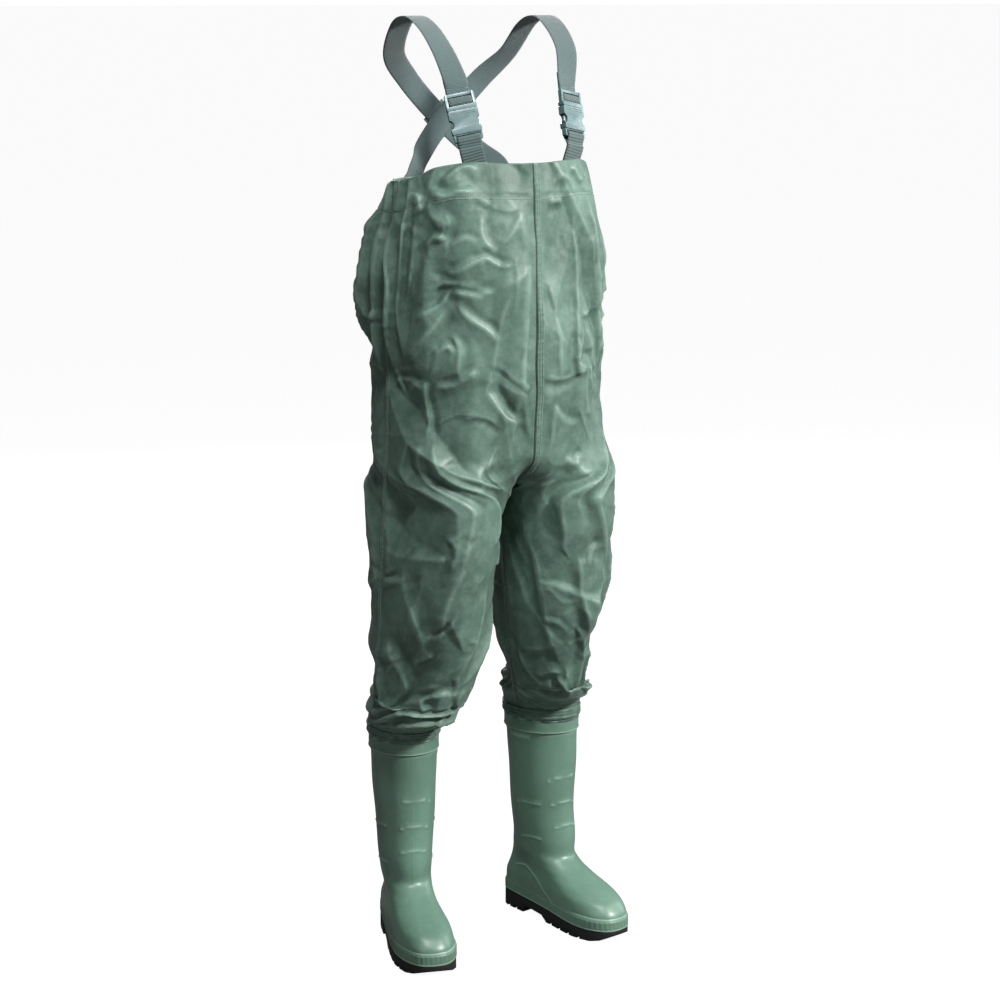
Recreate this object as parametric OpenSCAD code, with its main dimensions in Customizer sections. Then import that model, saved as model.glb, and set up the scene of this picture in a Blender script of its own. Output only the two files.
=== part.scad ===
// Chest waders: a coated-fabric bib and legs welded to rubber boots, held up by webbing braces with
// side-release buckles. They stand as worn. The wearer faces -Y, +X is the wearer's left and +Z is up.
// The origin is on the floor, below the middle of the bounding box. Millimetres.

/* [Body] */
// Height of the crotch above the floor
crotch_h = 800; // [720:1:880]
// Height of the hem at the sides of the chest
chest_h = 1299; // [1200:1:1420]
// Half the width of the chest at the hem
chest_half_w = 165; // [145:1:205]
// Half the width of the body at the waist
waist_half_w = 194; // [165:1:240]
// How far the chest front stands in front of the side seams at the hem
chest_front = 134; // [113:1:160]
// How far the belly stands in front of the side seams
waist_front = 150; // [126:1:180]
// How far the chest back stands behind the side seams at the hem
chest_back = 140; // [118:1:168]
// How far the seat stands behind the side seams
seat_back = 170; // [142:1:204]
// How much higher the hem is at the front than at the sides
bib_rise = 33; // [10:1:60]
// How much the braces lift the front hem
brace_lift = 11; // [5:1:30]

/* [Legs] */
// Half the width of a leg at the thigh
thigh_half_w = 94; // [80:1:112]
// Half the depth of a leg at the thigh
thigh_half_d = 116; // [97:1:139]
// Half the width of a leg at the knee
knee_half_w = 89; // [75:1:106]

/* [Fabric] */
// Thickness of the coated fabric
fabric_t = 1.2; // [1:0.1:1.5]
// Gap left between two soft pieces that lie on each other
soft_gap = 0.3; // [0.2:0.05:0.5]
// Width of the seam tapes
seam_w = 16; // [10:1:22]
// Thickness of the seam tapes
seam_t = 0.9; // [0.6:0.1:1.4]
// Height of the turned hem round the chest
hem_h = 50; // [35:1:65]
// Thickness of the flat elastic in the hem
elastic_t = 1.5; // [1:0.1:2]

/* [Boots] */
// Height of a boot from the floor to its rim
boot_h = 360; // [310:1:430]
// Length of a boot's outsole
boot_len = 276; // [240:1:325]
// Width of the boot's shaft
shaft_w = 114; // [98:1:132]
// Depth of the boot's shaft
shaft_d = 138; // [116:1:160]
// Width of the foot at the ball
ball_w = 105; // [90:1:122]
// Thickness of the boot's rubber wall
boot_wall = 2.6; // [2:0.1:3.4]
// Thickness of the knitted lining
lining_t = 1; // [0.8:0.1:1.4]
// Thickness of the footbed
footbed_t = 4; // [3:0.5:6]
// Height of the sole line above the floor at the toe
sole_toe_h = 18; // [14:1:22]
// Height of the sole line above the floor at the heel
sole_heel_h = 32; // [27:1:40]
// Depth of the tread grooves
tread_depth = 5; // [3:0.5:6]
// Width of the tread grooves
groove_w = 6; // [4:0.5:8]
// Height of the ribbed rand above the sole line
rand_h = 22; // [16:1:28]
// Thickness of the rand
rand_t = 4; // [3:0.5:5]
// Half the distance between the two boot shafts
stance = 134; // [122:1:150]
// How far the boot shafts stand behind the side seams
shaft_y = 72; // [50:1:90]
// Angle that each foot turns out
toe_out = 14; // [0:1:22]

/* [Braces] */
// Width of the webbing
web_w = 38; // [32:1:46]
// Thickness of the webbing
web_t = 1.8; // [1.4:0.1:2.2]
// Side clearance between the webbing and the buckle slots
web_clear = 0.8; // [0.6:0.1:1.5]
// Distance from the hem to the buckle's lower bar
tab_len = 38; // [30:1:55]
// Height of the top of the braces above the side hem
shoulder_rise = 260; // [225:1:310]
// Half the distance between the braces at the shoulders
shoulder_half = 118; // [100:1:140]
// Angle that the buckles lean back with the chest
lean = 20; // [10:1:26]
// Angle that the buckles lean outwards
splay = 4.5; // [0:0.5:8]
// Angle that the buckles face outwards
face_out = 22; // [10:1:28]

/* [Buckles] */
// Thickness of the buckle
buckle_t = 12; // [11:0.5:14]
// Width of the buckle's side walls
buckle_wall = 4.2; // [3.6:0.2:5.4]
// Length of the socket from its mouth to its cavity's end
socket_len = 38; // [34:1:44]
// Width of the buckle's webbing bars along the strap
bar_w = 5; // [4:0.25:6]
// Width of the slots that the webbing passes through
slot_w = 5.4; // [5:0.2:7]
// Running clearance between the plug and the socket
fit_gap = 0.4; // [0.3:0.05:0.6]
// Travel of the plug out of the socket
release_travel = 34; // [30:1:40]

/* [Hidden] */

fabric_green = [0.30, 0.42, 0.36];
tape_green = [0.24, 0.35, 0.30];
boot_green = [0.36, 0.50, 0.42];
sole_black = [0.06, 0.06, 0.07];
web_grey = [0.30, 0.36, 0.36];
buckle_grey = [0.35, 0.43, 0.45];

// Shared maths
function smooth(t) = let (c = min(1, max(0, t))) c * c * (3 - 2 * c);
function power(x, p) = sign(x) * pow(abs(x), p);
function unit(v) = v / norm(v);
function mirrored(p) = [-p[0], p[1], p[2]];
function spline(p, i, t) = let (n = len(p) - 1,
    a = p[max(0, i - 1)], b = p[i], c = p[min(n, i + 1)], d = p[min(n, i + 2)])
    0.5 * (2 * b + (c - a) * t + (2 * a - 5 * b + 4 * c - d) * t * t + (3 * b - a - 3 * c + d) * t * t * t);
function splined(p, steps) = [for (i = [0 : len(p) - 2], k = [0 : steps - 1]) spline(p, i, k / steps),
    p[len(p) - 1]];

// A closed thick sheet from two grids of points: rows of columns, outer and inner.
module sheet_solid(outer, inner) {
    rows = len(outer);
    cols = len(outer[0]);
    base = rows * cols;
    points = concat([for (r = outer, p = r) p], [for (r = inner, p = r) p]);
    function at(side, r, c) = side * base + r * cols + c;
    faces = concat(
        [for (r = [0 : rows - 2], c = [0 : cols - 2], k = [0, 1]) k == 0
            ? [at(0, r, c), at(0, r, c + 1), at(0, r + 1, c + 1)]
            : [at(0, r, c), at(0, r + 1, c + 1), at(0, r + 1, c)]],
        [for (r = [0 : rows - 2], c = [0 : cols - 2], k = [0, 1]) k == 0
            ? [at(1, r, c), at(1, r + 1, c + 1), at(1, r, c + 1)]
            : [at(1, r, c), at(1, r + 1, c), at(1, r + 1, c + 1)]],
        [for (c = [0 : cols - 2], k = [0, 1]) k == 0
            ? [at(0, 0, c + 1), at(0, 0, c), at(1, 0, c)]
            : [at(0, 0, c + 1), at(1, 0, c), at(1, 0, c + 1)]],
        [for (c = [0 : cols - 2], k = [0, 1]) k == 0
            ? [at(0, rows - 1, c), at(0, rows - 1, c + 1), at(1, rows - 1, c + 1)]
            : [at(0, rows - 1, c), at(1, rows - 1, c + 1), at(1, rows - 1, c)]],
        [for (r = [0 : rows - 2], k = [0, 1]) k == 0
            ? [at(0, r, 0), at(0, r + 1, 0), at(1, r + 1, 0)]
            : [at(0, r, 0), at(1, r + 1, 0), at(1, r, 0)]],
        [for (r = [0 : rows - 2], k = [0, 1]) k == 0
            ? [at(0, r + 1, cols - 1), at(0, r, cols - 1), at(1, r, cols - 1)]
            : [at(0, r + 1, cols - 1), at(1, r, cols - 1), at(1, r + 1, cols - 1)]]);
    polyhedron(points, faces, convexity = 8);
}

// A closed ring of thick wall from two grids whose columns run all the way round.
module ring_solid(outer, inner) {
    rows = len(outer);
    cols = len(outer[0]);
    base = rows * cols;
    points = concat([for (r = outer, p = r) p], [for (r = inner, p = r) p]);
    function at(side, r, c) = side * base + r * cols + c % cols;
    faces = concat(
        [for (r = [0 : rows - 2], c = [0 : cols - 1], k = [0, 1]) k == 0
            ? [at(0, r, c), at(0, r, c + 1), at(0, r + 1, c + 1)]
            : [at(0, r, c), at(0, r + 1, c + 1), at(0, r + 1, c)]],
        [for (r = [0 : rows - 2], c = [0 : cols - 1], k = [0, 1]) k == 0
            ? [at(1, r, c), at(1, r + 1, c + 1), at(1, r, c + 1)]
            : [at(1, r, c), at(1, r + 1, c), at(1, r + 1, c + 1)]],
        [for (c = [0 : cols - 1], k = [0, 1]) k == 0
            ? [at(0, 0, c + 1), at(0, 0, c), at(1, 0, c)]
            : [at(0, 0, c + 1), at(1, 0, c), at(1, 0, c + 1)]],
        [for (c = [0 : cols - 1], k = [0, 1]) k == 0
            ? [at(0, rows - 1, c), at(0, rows - 1, c + 1), at(1, rows - 1, c + 1)]
            : [at(0, rows - 1, c), at(1, rows - 1, c + 1), at(1, rows - 1, c)]]);
    polyhedron(points, faces, convexity = 8);
}

// Garment surface. Angle a runs from the front centre (0) by the side (90) to the back centre (180).
// Level v runs from the hem (0) to the crotch (1) and on down the leg to the boot rim (2).
hem_curve = 1.2;
body_round = 0.94;
crotch_dip = 0.16;
leg_end_h = boot_h + soft_gap;
waist_table = [[0, chest_half_w], [0.1, (chest_half_w + waist_half_w) / 2 - 4], [0.3, waist_half_w - 3],
    [0.55, waist_half_w], [0.8, waist_half_w - 4], [1, 2 * thigh_half_w + 4]];
front_table = [[0, chest_front], [0.1, (chest_front + waist_front) / 2], [0.3, waist_front - 2],
    [0.6, waist_front], [0.8, waist_front - 5], [1, waist_front - 14]];
back_table = [[0, chest_back], [0.08, (chest_back + seat_back) / 2 + 6], [0.2, seat_back + 8], [0.35, seat_back + 12],
    [0.6, seat_back + 6], [0.8, seat_back], [1, seat_back - 8]];
leg_x_table = [[1, thigh_half_w + 3], [1.2, thigh_half_w + 8], [1.6, (thigh_half_w + stance) / 2 + 2], [2, stance]];
leg_y_table = [[1, 6], [1.2, 2], [1.45, 8], [1.65, 24], [1.85, 42], [1.93, shaft_y - 16], [1.965, shaft_y], [2, shaft_y]];
leg_w_table = [[1, thigh_half_w + 2], [1.2, thigh_half_w], [1.45, knee_half_w], [1.65, knee_half_w - 8],
    [1.85, knee_half_w - 15], [1.93, shaft_w / 2 + 16], [1.965, shaft_w / 2], [2, shaft_w / 2]];
leg_d_table = [[1, thigh_half_d + 24], [1.2, thigh_half_d + 8], [1.45, thigh_half_d], [1.65, thigh_half_d - 8],
    [1.85, thigh_half_d - 18], [1.93, shaft_d / 2 + 23], [1.965, shaft_d / 2], [2, shaft_d / 2]];

function hem_z(a) = chest_h + (abs(a) < 90 ? bib_rise * pow(cos(a), hem_curve) + brace_lift * pow(sin(2 * a), 2) : 0);
function body_xy(a, v) = [lookup(v, waist_table) * power(sin(a), body_round),
    -(abs(a) < 90 ? lookup(v, front_table) : lookup(v, back_table)) * power(cos(a), body_round)];
function leg_xy(a, v) = let (t = toe_out * smooth((v - 1.5) * 2),
    dx = -lookup(v, leg_w_table) * cos(2 * a), dy = -lookup(v, leg_d_table) * sin(2 * a))
    [lookup(v, leg_x_table) + dx * cos(t) - dy * sin(t), lookup(v, leg_y_table) + dx * sin(t) + dy * cos(t)];
function garment(a, v) = let (
    merge = v < 1 ? smooth((1 - v) / crotch_dip) : 0,
    xy = v < 1 ? leg_xy(a, 1) * (1 - merge) + body_xy(a, v) * merge : leg_xy(a, v),
    z = v < 1 ? hem_z(a) + (crotch_h - hem_z(a)) * v : crotch_h + (leg_end_h - crotch_h) * (v - 1))
    [xy[0], xy[1] * (1 + 0.5 * merge * (1 - merge)), z];
function garment_normal(a, v) = let (da = 1, dv = 0.01)
    unit(cross(garment(a, v + dv) - garment(a, v - dv), garment(a + da, v) - garment(a - da, v)));
function garment_off(a, v, off) = garment(a, v) + off * garment_normal(a, v);
// The same surface carried over the centre line, for pieces that span it.
function centre_off(a, v, off, way) = let (p = garment(abs(a), v), q = a < 0 ? mirrored(p) : p)
    [q[0], q[1] + way * off, q[2]];

levels = [0, 0.05, 0.1, 0.2, 0.3, 0.42, 0.55, 0.67, 0.78, 0.84, 0.89, 0.94, 0.975, 1,
    1.04, 1.1, 1.2, 1.32, 1.45, 1.55, 1.65, 1.75, 1.85, 1.9, 1.93, 1.965, 2];
body_levels = [for (v = levels) if (v <= 0.95) v];
leg_levels = [for (v = levels) if (v >= 1.04 && v < 1.93) v];
edge_a = 0.1;
panel_cols = 10;
front_angles = [for (i = [0 : panel_cols]) edge_a + (90 - 2 * edge_a) * i / panel_cols];
back_angles = [for (i = [0 : panel_cols]) 90 + edge_a + (90 - 2 * edge_a) * i / panel_cols];

module garment_sheet(angles, rows, off, thick) {
    sheet_solid([for (v = rows) [for (a = angles) garment_off(a, v, off)]],
        [for (v = rows) [for (a = angles) garment_off(a, v, off - thick)]]);
}

module front_panel() {
    color(fabric_green) garment_sheet(front_angles, levels, 0, fabric_t);
}

module back_panel() {
    color(fabric_green) garment_sheet(back_angles, levels, 0, fabric_t);
}

// The turned hem: the facing lies inside the panels, with the flat elastic between at the back.
hem_levels = [0.6, (hem_h - 0.6) / 2, hem_h - 0.6] / (chest_h - crotch_h);
elastic_inset = 6;
elastic_levels = [elastic_inset, hem_h / 2, hem_h - elastic_inset] / (chest_h - crotch_h);
// A point on the flat facets of the panels, so that the layers inside them keep an even gap.
function on_facet(a, v, off) = let (low = v < levels[1] ? 0 : 1, t = (v - levels[low]) / (levels[low + 1] - levels[low]))
    garment_off(a, levels[low], off) * (1 - t) + garment_off(a, levels[low + 1], off) * t;
facing_t = fabric_t * 0.8;
front_facing_off = -(fabric_t + soft_gap);
back_facing_off = -(fabric_t + elastic_t + 2 * soft_gap);
function both_sides(list) = concat([for (i = [len(list) - 1 : -1 : 0]) -list[i]], list);
function round_off(a, v, off) = a < 0 ? mirrored(on_facet(-a, v, off)) : on_facet(a, v, off);
function past_back(a, v, off) = a > 180 ? mirrored(on_facet(360 - a, v, off)) : on_facet(a, v, off);

module front_hem_facing() {
    angles = both_sides([for (i = [0 : panel_cols - 1]) front_angles[i]]);
    color(fabric_green) sheet_solid(
        [for (v = hem_levels) [for (a = angles) round_off(a, v, front_facing_off)]],
        [for (v = hem_levels) [for (a = angles) round_off(a, v, front_facing_off - facing_t)]]);
}

module back_band(rows, off, thick, first) {
    half = [for (i = [first : panel_cols]) back_angles[i]];
    angles = concat(half, [for (i = [len(half) - 1 : -1 : 0]) 360 - half[i]]);
    sheet_solid([for (v = rows) [for (a = angles) past_back(a, v, off)]],
        [for (v = rows) [for (a = angles) past_back(a, v, off - thick)]]);
}

module back_hem_facing() {
    color(fabric_green) back_band(hem_levels, back_facing_off, facing_t, 0);
}

module chest_elastic() {
    color("whitesmoke") back_band(elastic_levels, -(fabric_t + soft_gap), elastic_t, 1);
}

// Seam tapes lie on the outside of the panels.
tape_off = soft_gap + seam_t;
function tape_angle(reach) = asin(pow(seam_w / 2 / reach, 1 / body_round));
side_half_a = tape_angle(waist_front);
centre_half_a = tape_angle(waist_half_w);
inseam_half_a = seam_w / 4 / thigh_half_d * 57.3;
centre_levels = [for (v = body_levels) if (v < 0.84) v];

module centre_tape(back, way) {
    angles = [for (i = [-2 : 2]) centre_half_a * (back ? -i : i) / 2];
    function place(a) = back ? sign(a) * (180 - abs(a)) + (a == 0 ? 180 : 0) : a;
    sheet_solid(
        [for (v = centre_levels) [for (a = angles) centre_off(place(a), v, tape_off, way)]],
        [for (v = centre_levels) [for (a = angles) centre_off(place(a), v, soft_gap, way)]]);
}

module front_centre_seam() {
    color(tape_green) centre_tape(false, -1);
}

module back_centre_seam() {
    color(tape_green) centre_tape(true, 1);
}

module side_seam() {
    angles = [for (i = [-2 : 2]) 90 + side_half_a * i / 2];
    rows = [for (v = levels) if (v < 1.93) v];
    color(tape_green) garment_sheet(angles, rows, tape_off, seam_t);
}

module inseam() {
    angles = [for (i = [-2 : 2]) inseam_half_a * i / 2];
    color(tape_green) garment_sheet(angles, leg_levels, tape_off, seam_t);
}

// Rings round the foot of each leg and the boot rim.
cuff_h = 24;
collar_h = 24;
collar_lap = 5;
leg_len = crotch_h - leg_end_h;
module leg_ring(low, high, off, thick) {
    rows = [for (i = [0 : 2]) 2 - (high - (high - low) * i / 2) / leg_len];
    angles = [for (i = [0 : 35]) i * 5];
    ring_solid([for (v = rows) [for (a = angles) garment_off(a, v, off)]],
        [for (v = rows) [for (a = angles) garment_off(a, v, off - thick)]]);
}

module leg_cuff() {
    color(tape_green) leg_ring(collar_lap + soft_gap, collar_lap + cuff_h, tape_off, seam_t);
}

// Boot, in its own frame: the toe points to -Y and the shaft's centre is on the Z axis at the rim.
toe_y = -0.75 * boot_len;
heel_y = 0.25 * boot_len;
ball_half = ball_w / 2;
outline_table = [[0, 1.09], [40, 1.13], [60, 1.06], [90, 0.84], [115, 0.76], [135, 0.80], [150, 0.89],
    [165, 0.98], [180, 1.06]];
toe_skew = 7;
function sole_z(y) = sole_toe_h + (sole_heel_h - sole_toe_h) * (y - toe_y) / boot_len;
// Foot outline: angle a runs from the toe (0) by the outer side (90) to the heel (180) and back.
function outline_w(a) = let (b = abs(a > 180 ? a - 360 : a))
    lookup(b, outline_table) * pow(abs(sin(b)), 0.5 + 0.2 * smooth((80 - b) / 50)) * (a > 180 ? -1 : 1);
function outline(a, off) = [(ball_half + off) * outline_w(a) - toe_skew * smooth((cos(a) + 0.2) / 1.2),
    (toe_y + heel_y) / 2 - (boot_len / 2 + off) * cos(a)];
outline_a = [for (i = [0 : 35]) i * 10];

// Profiles of the upper from the sole line (0) to the rim (1): [share, value].
front_y_table = [[0, toe_y + 4.2], [0.08, toe_y + 6], [0.16, toe_y + 20], [0.24, toe_y + 44], [0.32, toe_y + 76],
    [0.4, toe_y + 108], [0.48, toe_y + 136], [0.56, -shaft_d / 2 - 4], [0.66, -shaft_d / 2 + 4],
    [0.8, -shaft_d / 2 + 1], [1, -shaft_d / 2]];
front_z_table = [[0, sole_toe_h], [0.08, 42], [0.16, 60], [0.24, 72], [0.32, 83], [0.4, 96], [0.48, 114],
    [0.56, 142], [0.66, 190], [0.8, 264], [1, boot_h]];
heel_y_table = [[0, heel_y - 4.2], [0.08, heel_y - 5], [0.16, heel_y - 3], [0.4, heel_y - 10], [0.56, heel_y - 14], [0.66, heel_y - 11],
    [0.8, heel_y - 7], [1, shaft_d / 2]];
heel_z_table = [[0, sole_heel_h], [0.08, 50], [0.16, 68], [0.24, 82], [0.32, 96], [0.4, 110], [0.48, 126],
    [0.56, 148], [0.66, 194], [0.8, 266], [1, boot_h]];
half_w_table = [[0, ball_half - 4.4], [0.08, ball_half - 5.5], [0.16, ball_half - 5], [0.24, ball_half - 8],
    [0.32, ball_half - 11], [0.4, ball_half - 12], [0.48, ball_half - 10], [0.56, shaft_w / 2 - 12],
    [0.66, shaft_w / 2 - 9], [0.8, shaft_w / 2 - 3], [1, shaft_w / 2]];
function upper(a, s) = let (
    round_in = smooth(s / 0.6),
    yf = lookup(s, front_y_table), yb = lookup(s, heel_y_table),
    mid = (yf + yb) / 2, half = (yb - yf) / 2, t = (1 - cos(a)) / 2,
    shape = outline_w(a) * (1 - round_in) + sin(a) * round_in,
    skew = toe_skew * smooth((cos(a) + 0.2) / 1.2) * (1 - smooth(s / 0.35)))
    [lookup(s, half_w_table) * shape - skew, mid - half * cos(a),
        lookup(s, front_z_table) * (1 - t) + lookup(s, heel_z_table) * t];
function upper_off(a, s, off) = let (
    n = unit(cross(upper(a + 2, s) - upper(a - 2, s), upper(a, min(1, s + 0.01)) - upper(a, max(0, s - 0.01)))))
    upper(a, s) + off * n;
upper_levels = [1, 0.9, 0.8, 0.72, 0.66, 0.6, 0.56, 0.52, 0.48, 0.44, 0.4, 0.36, 0.32, 0.28, 0.24, 0.2, 0.16,
    0.12, 0.08, 0.04, 0.004];

module placed_boot() {
    translate([stance, shaft_y, 0]) rotate([0, 0, toe_out]) children();
}

module boot_shell(rows, off, thick) {
    ring_solid([for (s = rows) [for (a = outline_a) upper_off(a, s, off)]],
        [for (s = rows) [for (a = outline_a) upper_off(a, s, off - thick)]]);
}

module boot_upper() {
    color(boot_green) placed_boot() boot_shell(upper_levels, 0, boot_wall);
}

lining_levels = [for (s = upper_levels) if (s > 0.07) s == 1 ? 0.99 : s];
module boot_lining() {
    color("darkslategray") placed_boot() boot_shell(lining_levels, -boot_wall - soft_gap, lining_t);
}

module boot_collar() {
    rows = [boot_h + collar_lap - soft_gap, boot_h - collar_h + collar_lap];
    function ring(off, z) = [for (a = outline_a)
        [(shaft_w / 2 + off) * sin(a), -(shaft_d / 2 + off) * cos(a), z]];
    color(boot_green) placed_boot()
        ring_solid([for (z = rows) ring(boot_wall, z)], [for (z = rows) ring(0.8, z)]);
}

module footbed() {
    inset = boot_wall + lining_t + 6;
    color("darkslategray") placed_boot() intersection() {
        translate([0, 0, 5]) linear_extrude(height = 80) polygon([for (a = outline_a) outline(a, -inset)]);
        translate([-ball_w, 0, 0]) rotate([90, 0, 90]) linear_extrude(height = 2 * ball_w)
            polygon([[toe_y, sole_z(toe_y) + soft_gap], [heel_y, sole_z(heel_y) + soft_gap],
                [heel_y, sole_z(heel_y) + footbed_t], [toe_y, sole_z(toe_y) + footbed_t]]);
    }
}

module boot_rand() {
    ups = [rand_h, rand_h / 2, soft_gap];
    function ring(off, up) = [for (a = outline_a) let (p = outline(a, off)) [p[0], p[1], sole_z(p[1]) + up]];
    color(boot_green) placed_boot()
        ring_solid([for (up = ups) ring(0.6, up)], [for (up = ups) ring(0.6 - rand_t, up)]);
}

// Outsole: a tread plate and a heel block under one sole line, with cross grooves.
ball_end_y = -0.22 * boot_len;
heel_front_y = 0.02 * boot_len;
arch_z = sole_toe_h * 0.55;
module outsole() {
    color(sole_black) placed_boot() difference() {
        intersection() {
            linear_extrude(height = 80) polygon([for (a = outline_a) outline(a, 0)]);
            translate([-ball_w, 0, 0]) rotate([90, 0, 90]) linear_extrude(height = 2 * ball_w)
                polygon([[toe_y, sole_toe_h * 0.6], [toe_y + 16, 3], [toe_y + 32, 0], [ball_end_y, 0],
                    [ball_end_y + 14, arch_z], [heel_front_y - 6, arch_z + 3], [heel_front_y, 0],
                    [heel_y - 10, 0], [heel_y, 7], [heel_y, sole_z(heel_y)], [toe_y, sole_z(toe_y)]]);
        }
        for (y = [toe_y + 52, toe_y + 78, toe_y + 104, toe_y + 130, heel_front_y + 18, heel_front_y + 38])
            translate([-ball_w, y, -1]) cube([2 * ball_w, groove_w, tread_depth + 1]);
    }
}

// Buckle frame: X across the webbing, Y to the wearer and Z up the brace, from the socket's mouth.
brace_a = 33;
tab_top = garment(brace_a, 0);
up_dir = unit([sin(splay) * cos(lean), sin(lean), cos(lean)]);
facing = [cos(face_out), sin(face_out), 0];
across_dir = unit(facing - (facing * up_dir) * up_dir);
in_dir = cross(up_dir, across_dir);
bar_drop = socket_len + slot_w + bar_w / 2 + 2;
mouth = tab_top + (tab_len + bar_drop) * up_dir + 3 * in_dir;
function from_buckle(p) = mouth + p[0] * across_dir + p[1] * in_dir + p[2] * up_dir;

module placed_buckle() {
    multmatrix([[across_dir[0], in_dir[0], up_dir[0], mouth[0]],
        [across_dir[1], in_dir[1], up_dir[1], mouth[1]],
        [across_dir[2], in_dir[2], up_dir[2], mouth[2]], [0, 0, 0, 1]]) children();
}

buckle_half = web_w / 2 + web_clear + buckle_wall;
cavity_half = web_w / 2 + web_clear;
cavity_t = buckle_t - 4;
socket_low = -bar_drop - bar_w / 2;
window_top = -14;
window_low = -30;
function round_corner(x, z, r, from) = [for (i = [0 : 4]) [x + r * cos(from + i * 22.5), z + r * sin(from + i * 22.5)]];
function rounded(x0, z0, x1, z1, r) = concat(round_corner(x1 - r, z1 - r, r, 0), round_corner(x0 + r, z1 - r, r, 90),
    round_corner(x0 + r, z0 + r, r, 180), round_corner(x1 - r, z0 + r, r, 270));
module slab(points, y0, y1) {
    translate([0, y1, 0]) rotate([90, 0, 0]) linear_extrude(height = y1 - y0) polygon(points);
}

module buckle_socket() {
    half = buckle_t / 2;
    color(buckle_grey) placed_buckle() difference() {
        union() {
            slab(rounded(-buckle_half, -socket_len, buckle_half, -fit_gap / 2, 2.5), -half, half);
            slab(rounded(-buckle_half + 1, socket_low, buckle_half - 1, -socket_len + 3, 2.5), -half + 2, half - 2);
        }
        translate([-cavity_half, -cavity_t / 2, -socket_len + 3]) cube([2 * cavity_half, cavity_t, socket_len]);
        translate([-cavity_half, -half, socket_low + bar_w]) cube([2 * cavity_half, buckle_t, slot_w]);
        for (x = [-1, 1]) {
            translate([x * buckle_half - 8, -cavity_t / 2, window_low]) cube([16, cavity_t, window_top - window_low]);
            translate([x * (buckle_half + 2), 0, (window_low + window_top) / 2]) rotate([90, 0, 0])
                cylinder(r = (window_top - window_low) / 2, h = 2 * buckle_t, center = true, $fn = 48);
        }
    }
}

guide_half = 4;
frame_low = 7;
mid_bar = frame_low + slot_w;
top_bar = mid_bar + bar_w + slot_w;
plug_top = top_bar + bar_w;
bar_t = 3.6;
rail_t = 7;
// The spring prongs turn on two pins, held between thin cheeks below the plug's frame.
prong_x = cavity_half - 6;
pin_z = -3.6;
pin_r = 1.6;
pin_clear = 0.06;
eye_r = 3.2;
cheek_out = cavity_t / 2 - fit_gap;
prong_half_t = cheek_out - 1.1 - soft_gap;
module y_pin(x, z, r, half) {
    translate([x, 0, z]) rotate([90, 0, 0]) cylinder(r = r, h = 2 * half, center = true, $fn = 48);
}

module buckle_plug() {
    half = buckle_t / 2;
    color(buckle_grey) placed_buckle() {
        difference() {
            union() {
                slab(rounded(-buckle_half, fit_gap / 2, buckle_half, frame_low, 2), -half, half);
                slab(rounded(-buckle_half, frame_low - 3, buckle_half, plug_top, 2.5), -rail_t / 2, rail_t / 2);
            }
            translate([-cavity_half, -half, frame_low]) cube([2 * cavity_half, buckle_t, plug_top]);
        }
        for (z = [mid_bar, top_bar])
            translate([-cavity_half - 1, -bar_t / 2, z]) cube([2 * cavity_half + 2, bar_t, bar_w]);
        slab([[-guide_half, 1], [guide_half, 1], [guide_half - 1, -28], [1 - guide_half, -28]],
            -cavity_t / 2 + 1.5, cavity_t / 2 - 1.5);
        for (x = [-prong_x, prong_x]) {
            y_pin(x, pin_z, pin_r, cheek_out);
            for (y = [-cheek_out, cheek_out - 1.1]) translate([0, y, 0]) {
                translate([x - eye_r, 0, pin_z]) cube([2 * eye_r, 1.1, 1 - pin_z]);
                translate([x, 0, pin_z]) rotate([-90, 0, 0]) cylinder(r = eye_r, h = 1.1, $fn = 48);
            }
        }
    }
}

// Spring prong: a hinge eye on the pin, an arm and a thumb head that fills the side window.
head_out = buckle_half - 1.2;
module prong(side) {
    color(buckle_grey) placed_buckle() mirror([side < 0 ? 1 : 0, 0, 0]) difference() {
        union() {
            slab([[prong_x - 2, pin_z], [prong_x + 2, pin_z], [prong_x + 2.6, -10],
                [head_out - 3.4, window_top - 1.4], [head_out, window_top - 5], [head_out - 0.4, window_low + 5],
                [head_out - 3, window_low + 1.4], [prong_x + 2, window_low + 0.4], [prong_x, window_low + 3],
                [prong_x - 1.6, -12]], -prong_half_t, prong_half_t);
            y_pin(prong_x, pin_z, eye_r, prong_half_t);
        }
        y_pin(prong_x, pin_z, pin_r + pin_clear, 2 * prong_half_t);
    }
}

// Webbing: a flat strip swept along points, its width lying along the across vectors.
module strip(points, across, half_w, half_t) {
    last = len(points) - 1;
    function along(i) = unit(points[min(last, i + 1)] - points[max(0, i - 1)]);
    function ring(i) = let (w = unit(across[i] - (across[i] * along(i)) * along(i)), n = cross(along(i), w))
        [points[i] - half_w * w - half_t * n, points[i] + half_w * w - half_t * n,
            points[i] + half_w * w + half_t * n, points[i] - half_w * w + half_t * n];
    faces = concat([[3, 2, 1, 0]], [[for (k = [0 : 3]) 4 * last + k]],
        [for (i = [0 : last - 1], k = [0 : 3], h = [0, 1]) let (m = (k + 1) % 4) h == 0
            ? [4 * i + k, 4 * i + m, 4 * i + 4 + m] : [4 * i + k, 4 * i + 4 + m, 4 * i + 4 + k]]);
    polyhedron([for (i = [0 : last]) each ring(i)], faces, convexity = 8);
}

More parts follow.
